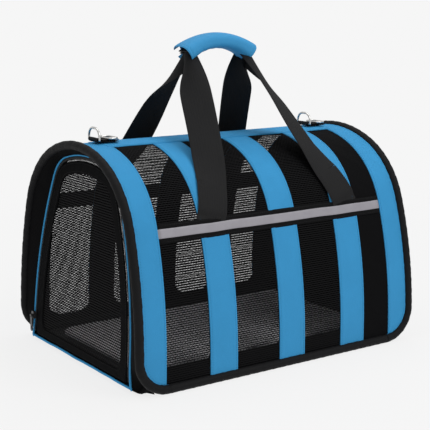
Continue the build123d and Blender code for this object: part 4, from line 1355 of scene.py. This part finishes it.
def make_handles():
    lift = TAPE_LIFT + TAPE_THICKNESS + WEBBING_THICKNESS / 2 + 0.35 * mm
    for side_name, end_name in LEG_BOWS:
        end = ENDS[end_name]
        points, normals, path, top = leg_path(side_name, end_name, lift)
        sewn = Patch()
        ribbon(sewn, points, normals, WEBBING_WIDTH, WEBBING_THICKNESS)
        finish_mesh(f"webbing_{side_name}_{end_name}_anchor", sewn, WEBBING, "black_webbing",
                    f"{side_name}_{end_name}_handle_anchor", sharp=60)
        across = np.cross(tangents(points), normals)
        stitches = Patch()
        reach, face = WEBBING_WIDTH / 2 - 3 * mm, WEBBING_THICKNESS / 2 - 0.1 * mm
        for edge in (-1, 1):
            stitch_run(stitches, points + across * edge * reach + normals * face, normals, seed=131)
        shares = np.linspace(-1, 1, 12)[:, None] * reach
        for row in (4, 21, 23):
            line = points[row] + across[row] * shares + normals[row] * face
            stitch_run(stitches, line, np.tile(normals[row], (12, 1)), seed=132)
        finish_thread(f"stitches_{side_name}_{end_name}_anchor", stitches, BLACK_THREAD, "black_webbing")
        share = np.linspace(0, 1, len(path))
        end_normal = np.array([end * 0.80, 0.0, 0.60])
        turn = np.clip(share, 0, 1) ** 2.6
        twist = math.radians(LEG_BOWS[(side_name, end_name)][2]) * np.clip(share * 4, 0, 1)
        twisted = normals[-1] + np.tan(twist)[:, None] * np.array([end, 0.0, 0.0])
        face = unit(twisted * (1 - turn)[:, None] + end_normal * turn[:, None])
        curl = 100.0 * np.clip((share - 0.55) / 0.45, 0, 1) ** 2
        widths = WEBBING_WIDTH * (1 - 0.30 * np.clip((share - 0.7) / 0.3, 0, 1) ** 1.5)
        free = Patch()
        ribbon(free, path, face, WEBBING_WIDTH, WEBBING_THICKNESS, curl=curl, widths=widths)
        leg = finish_mesh(f"webbing_{side_name}_{end_name}_leg", free, WEBBING, "black_webbing",
                          f"{side_name}_{end_name}_handle_leg", sharp=60)
        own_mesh(leg)


def make_grip_webbing():
    """Both handles' webbing through the grip, as it shows at the wrap's ends."""
    for node, level in (("grip_webbing_upper", 1.6 * mm), ("grip_webbing_lower", -1.6 * mm)):
        point, _, up = grip_line(np.linspace(-0.95, 0.95, 60))
        band = Patch()
        ribbon(band, point + up * level, up, 26 * mm, WEBBING_THICKNESS)
        finish_mesh(f"webbing_{node}", band, WEBBING, "black_webbing", node, body="grip", sharp=60)


GRIP_POWER = 2.6            # the wrap's section: 2 is an ellipse, more is squarer
GRIP_HALF_Y, GRIP_HALF_UP = 17.0, 9.8   # and half its width and height, in millimetres


def grip_section(angle):
    """Outline of the wrap's section at an angle, for half sizes of one; 0 points to the back."""
    cos_a, sin_a = np.cos(angle), np.sin(angle)
    radial = (np.abs(cos_a) ** GRIP_POWER + np.abs(sin_a) ** GRIP_POWER) ** (-1 / GRIP_POWER)
    return radial * cos_a, radial * sin_a


def make_grip():
    """Padded wrap: a C of thick cloth round the webbing, open at the back, flared at both ends."""
    count, around = 72, 64
    share = np.linspace(-1, 1, count)
    point, _, up = grip_line(share)
    opening = math.radians(26)
    angle = np.linspace(opening, 2 * np.pi - opening, around)
    section_y, section_up = grip_section(angle)
    flare = np.abs(share) ** 3
    half_y = (GRIP_HALF_Y + 1.2 * flare) * mm
    half_up = (GRIP_HALF_UP + 2.6 * flare) * mm
    across = np.array([0.0, 1.0, 0.0])
    run = share * GRIP_RADIUS * GRIP_ANGLE
    folds = 0.35 * mm * wobble(run, 22 * mm, 141)[:, None] * np.clip(-np.sin(angle), 0, 1)[None, :]
    thickness = 2.6 * mm
    end_distance = (1 - np.abs(share)) * GRIP_RADIUS * GRIP_ANGLE
    side_distance = np.minimum(angle - opening, 2 * np.pi - opening - angle)[None, :] * 12 * mm
    edge_distance = np.minimum(end_distance[:, None], side_distance)
    pinch = np.exp(-((edge_distance - 3.0 * mm) / (1.1 * mm)) ** 2) * 0.45 * mm
    roll = np.clip(1 - edge_distance / (1.6 * mm), 0, 1) ** 2 * 1.2 * mm

    def surface(offset):
        y = section_y[None, :] * half_y[:, None]
        z = section_up[None, :] * half_up[:, None]
        size = np.sqrt(y ** 2 + z ** 2)
        scale = 1 + (offset + folds) / size
        return point[:, None, :] + (y * scale)[..., None] * across + (z * scale)[..., None] * up[:, None, :]

    wrap = Patch()
    outer = surface(0.9 * mm - pinch - roll)
    inner = surface(0.9 * mm - thickness + roll * 0.8)
    uvs = np.stack(np.broadcast_arrays(run[:, None], (angle * 14 * mm)[None, :]), -1)
    wrap.sheet(outer, inner, uvs)
    piece = finish_mesh("padding_grip_wrap", wrap, GRIP_BLUE, "blue_fabric", "grip_wrap", body="grip")
    stitches = Patch()
    for index in (3, count - 4):
        line = surface(0.75 * mm)[index]
        centre = point[index]
        stitch_run(stitches, line, unit(line - centre), seed=142)
    for column in (4, around - 5):
        line = surface(0.75 * mm)[3:-3, column]
        stitch_run(stitches, line, unit(line - point[3:-3]), seed=143)
    finish_thread("stitches_grip_wrap", stitches, BLUE_THREAD, "blue_fabric", body="grip")
    flap_angle = np.linspace(-math.radians(38), math.radians(30), 16)
    flap_share = np.linspace(-0.82, 0.86, 50)
    flap_point, _, flap_up = grip_line(flap_share)
    flap_y, flap_z = grip_section(flap_angle)

    def flap_surface(offset):
        y = flap_y * (GRIP_HALF_Y * mm + offset)
        z = flap_z * (GRIP_HALF_UP * mm + offset)
        return flap_point[:, None, :] + y[None, :, None] * across + z[None, :, None] * flap_up[:, None, :]

    flap = Patch()
    flap.sheet(flap_surface(2.1 * mm), flap_surface(1.1 * mm))
    finish_mesh("cloth_grip_closure", flap, GRIP_BLUE, "blue_fabric", "grip_closure", body="grip")


# --- Strap fittings on the ridge ----------------------------------------------------------
def make_ring_tabs():
    """Webbing tabs folded round the D-rings' bars and box-stitched to the ridge band."""
    for side_name in ("left", "right"):
        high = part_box(f"{side_name}_ring_tab")[1]
        ring_low, ring_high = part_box(f"{side_name}_d_ring")
        bar_x, bar_z = (ring_low.x + ring_high.x) / 2, ring_low.z + 1.5 * mm
        tail_end = high.x
        top_z, under_z = bar_z - 0.2 * mm, bar_z - 3.0 * mm
        wrap_radius = 2.3 * mm
        turn = np.linspace(math.radians(80), math.radians(280), 16)
        loop_x, loop_z = bar_x + wrap_radius * np.cos(turn), bar_z + wrap_radius * np.sin(turn)
        stations = [bar_x, bar_x + 7 * mm, tail_end]
        upper_x = np.linspace(tail_end, bar_x + 1.5 * mm, 16)
        upper_z = np.interp(upper_x, stations, [bar_z + wrap_radius, top_z, top_z - 0.4 * mm])
        lower_x = np.linspace(bar_x + 1.5 * mm, tail_end, 16)
        lower_z = np.interp(lower_x, stations, [bar_z - wrap_radius, under_z + 0.6 * mm, under_z])
        line = np.stack([np.r_[upper_x, loop_x, lower_x], np.zeros(48), np.r_[upper_z, loop_z, lower_z]], -1)
        line = even(line, 1.0 * mm)
        along = tangents(line)
        normals = np.cross(np.array([0.0, 1.0, 0.0]), along)
        outward = normals if normals[0][2] > 0 else -normals
        tab = Patch()
        ribbon(tab, line, outward, 24 * mm, 1.3 * mm)
        finish_mesh(f"webbing_{side_name}_ring_tab", tab, WEBBING, "black_webbing", f"{side_name}_ring_tab",
                    sharp=60)
        stitches = Patch()
        left, right, half = bar_x + 8 * mm, tail_end - 2 * mm, 9 * mm
        corners = [(left, -half), (right, -half), (right, half), (left, half), (left, -half), (right, half)]
        for (x0, y0), (x1, y1) in zip(corners, corners[1:]):
            t = np.linspace(0, 1, 12)
            row = np.stack([x0 + (x1 - x0) * t, y0 + (y1 - y0) * t, np.full(12, top_z + 0.62 * mm)], -1)
            stitch_run(stitches, row, np.tile([0.0, 0.0, 1.0], (12, 1)), seed=151)
        finish_thread(f"stitches_{side_name}_ring_tab", stitches, BLACK_THREAD, "black_webbing")


# --- CAD nodes that are shown as they are --------------------------------------------------
CARRIED = {
    "left_d_ring": STEEL, "right_d_ring": STEEL, "left_tab_keeper": STEEL, "right_tab_keeper": STEEL,
    "left_frame_wire": SPRING_STEEL, "right_frame_wire": SPRING_STEEL,
    "zip_slider": LACQUER, "zip_pull": LACQUER, "base_board": BOARD,
}


def dress_cad_nodes():
    for name, material in CARRIED.items():
        node = frame["nodes"][name]
        node.data.materials.clear()
        node.data.materials.append(material)
        node.data.shade_smooth()
        node.data.set_sharp_from_angle(angle=math.radians(35))


# --- Stage --------------------------------------------------------------------------------
STUDIO_WHITE = 0.921


def make_floor():
    """Pale floor that fades into the studio's white away from the object."""
    bpy.ops.mesh.primitive_plane_add(size=40.0, location=(0, 0, 0))
    floor = bpy.context.object
    floor.name = "stage_floor"
    made = Surface("studio floor")
    made.feed_all(made.shader, Base_Color=(0.80, 0.80, 0.805, 1), Roughness=0.9, Specular_IOR_Level=0.1)
    length = made.node("VectorMath")
    length.operation = "LENGTH"
    made.feed(length.inputs[0], made.place)
    fade = made.node("MapRange", From_Min=0.35, From_Max=1.3, To_Min=0.88, To_Max=1.0,
                     Value=length.outputs["Value"])
    fade.interpolation_type = "SMOOTHSTEP"
    glow = made.node("Emission", Color=(STUDIO_WHITE, STUDIO_WHITE, STUDIO_WHITE, 1))
    mix = made.node("MixShader")
    for socket, value in zip(mix.inputs, (fade.outputs["Result"], made.shader.outputs[0], glow.outputs[0])):
        made.feed(socket, value)
    made.feed(made.tree.nodes["Material Output"].inputs["Surface"], mix.outputs[0])
    floor.data.materials.append(made.material)


def area_light(name, place, target, size, power):
    light = bpy.data.lights.new(name, "AREA")
    light.shape = "SQUARE"
    light.size, light.energy = size, power
    lamp = bpy.data.objects.new(name, light)
    bpy.context.scene.collection.objects.link(lamp)
    lamp.location = place
    lamp.rotation_euler = (Vector(target) - Vector(place)).to_track_quat("-Z", "Y").to_euler()


def make_studio():
    world = bpy.data.worlds.new("studio")
    bpy.context.scene.world = world
    world.use_nodes = True
    nodes, links = world.node_tree.nodes, world.node_tree.links
    seen = nodes["Background"]
    seen.inputs["Color"].default_value = (STUDIO_WHITE, STUDIO_WHITE, STUDIO_WHITE, 1)
    fill = nodes.new("ShaderNodeBackground")
    fill.inputs["Color"].default_value = (1, 1, 1, 1)
    fill.inputs["Strength"].default_value = 0.62
    path = nodes.new("ShaderNodeLightPath")
    mix = nodes.new("ShaderNodeMixShader")
    links.new(path.outputs["Is Camera Ray"], mix.inputs[0])
    links.new(fill.outputs[0], mix.inputs[1])
    links.new(seen.outputs[0], mix.inputs[2])
    links.new(mix.outputs[0], nodes["World Output"].inputs["Surface"])
    area_light("key", (0.7, -1.9, 1.9), (0, 0, 0.15), 1.4, 26.0)
    area_light("top", (0.1, 0.3, 2.3), (0, 0, 0.2), 1.8, 20.0)
    bpy.context.scene.view_settings.view_transform = "Standard"


make_windows()
make_stripes()
make_end_bands()
make_ridge_band()
make_solid_panel()
make_facings()
make_tapes()
make_welts()
make_gussets()
make_piping()
make_door_mesh()
make_door_border()
make_zip()
make_right_panel()
make_base_cloth()
make_pad()
make_handles()
make_grip_webbing()
make_grip()
make_ring_tabs()
dress_cad_nodes()
make_floor()
make_studio()
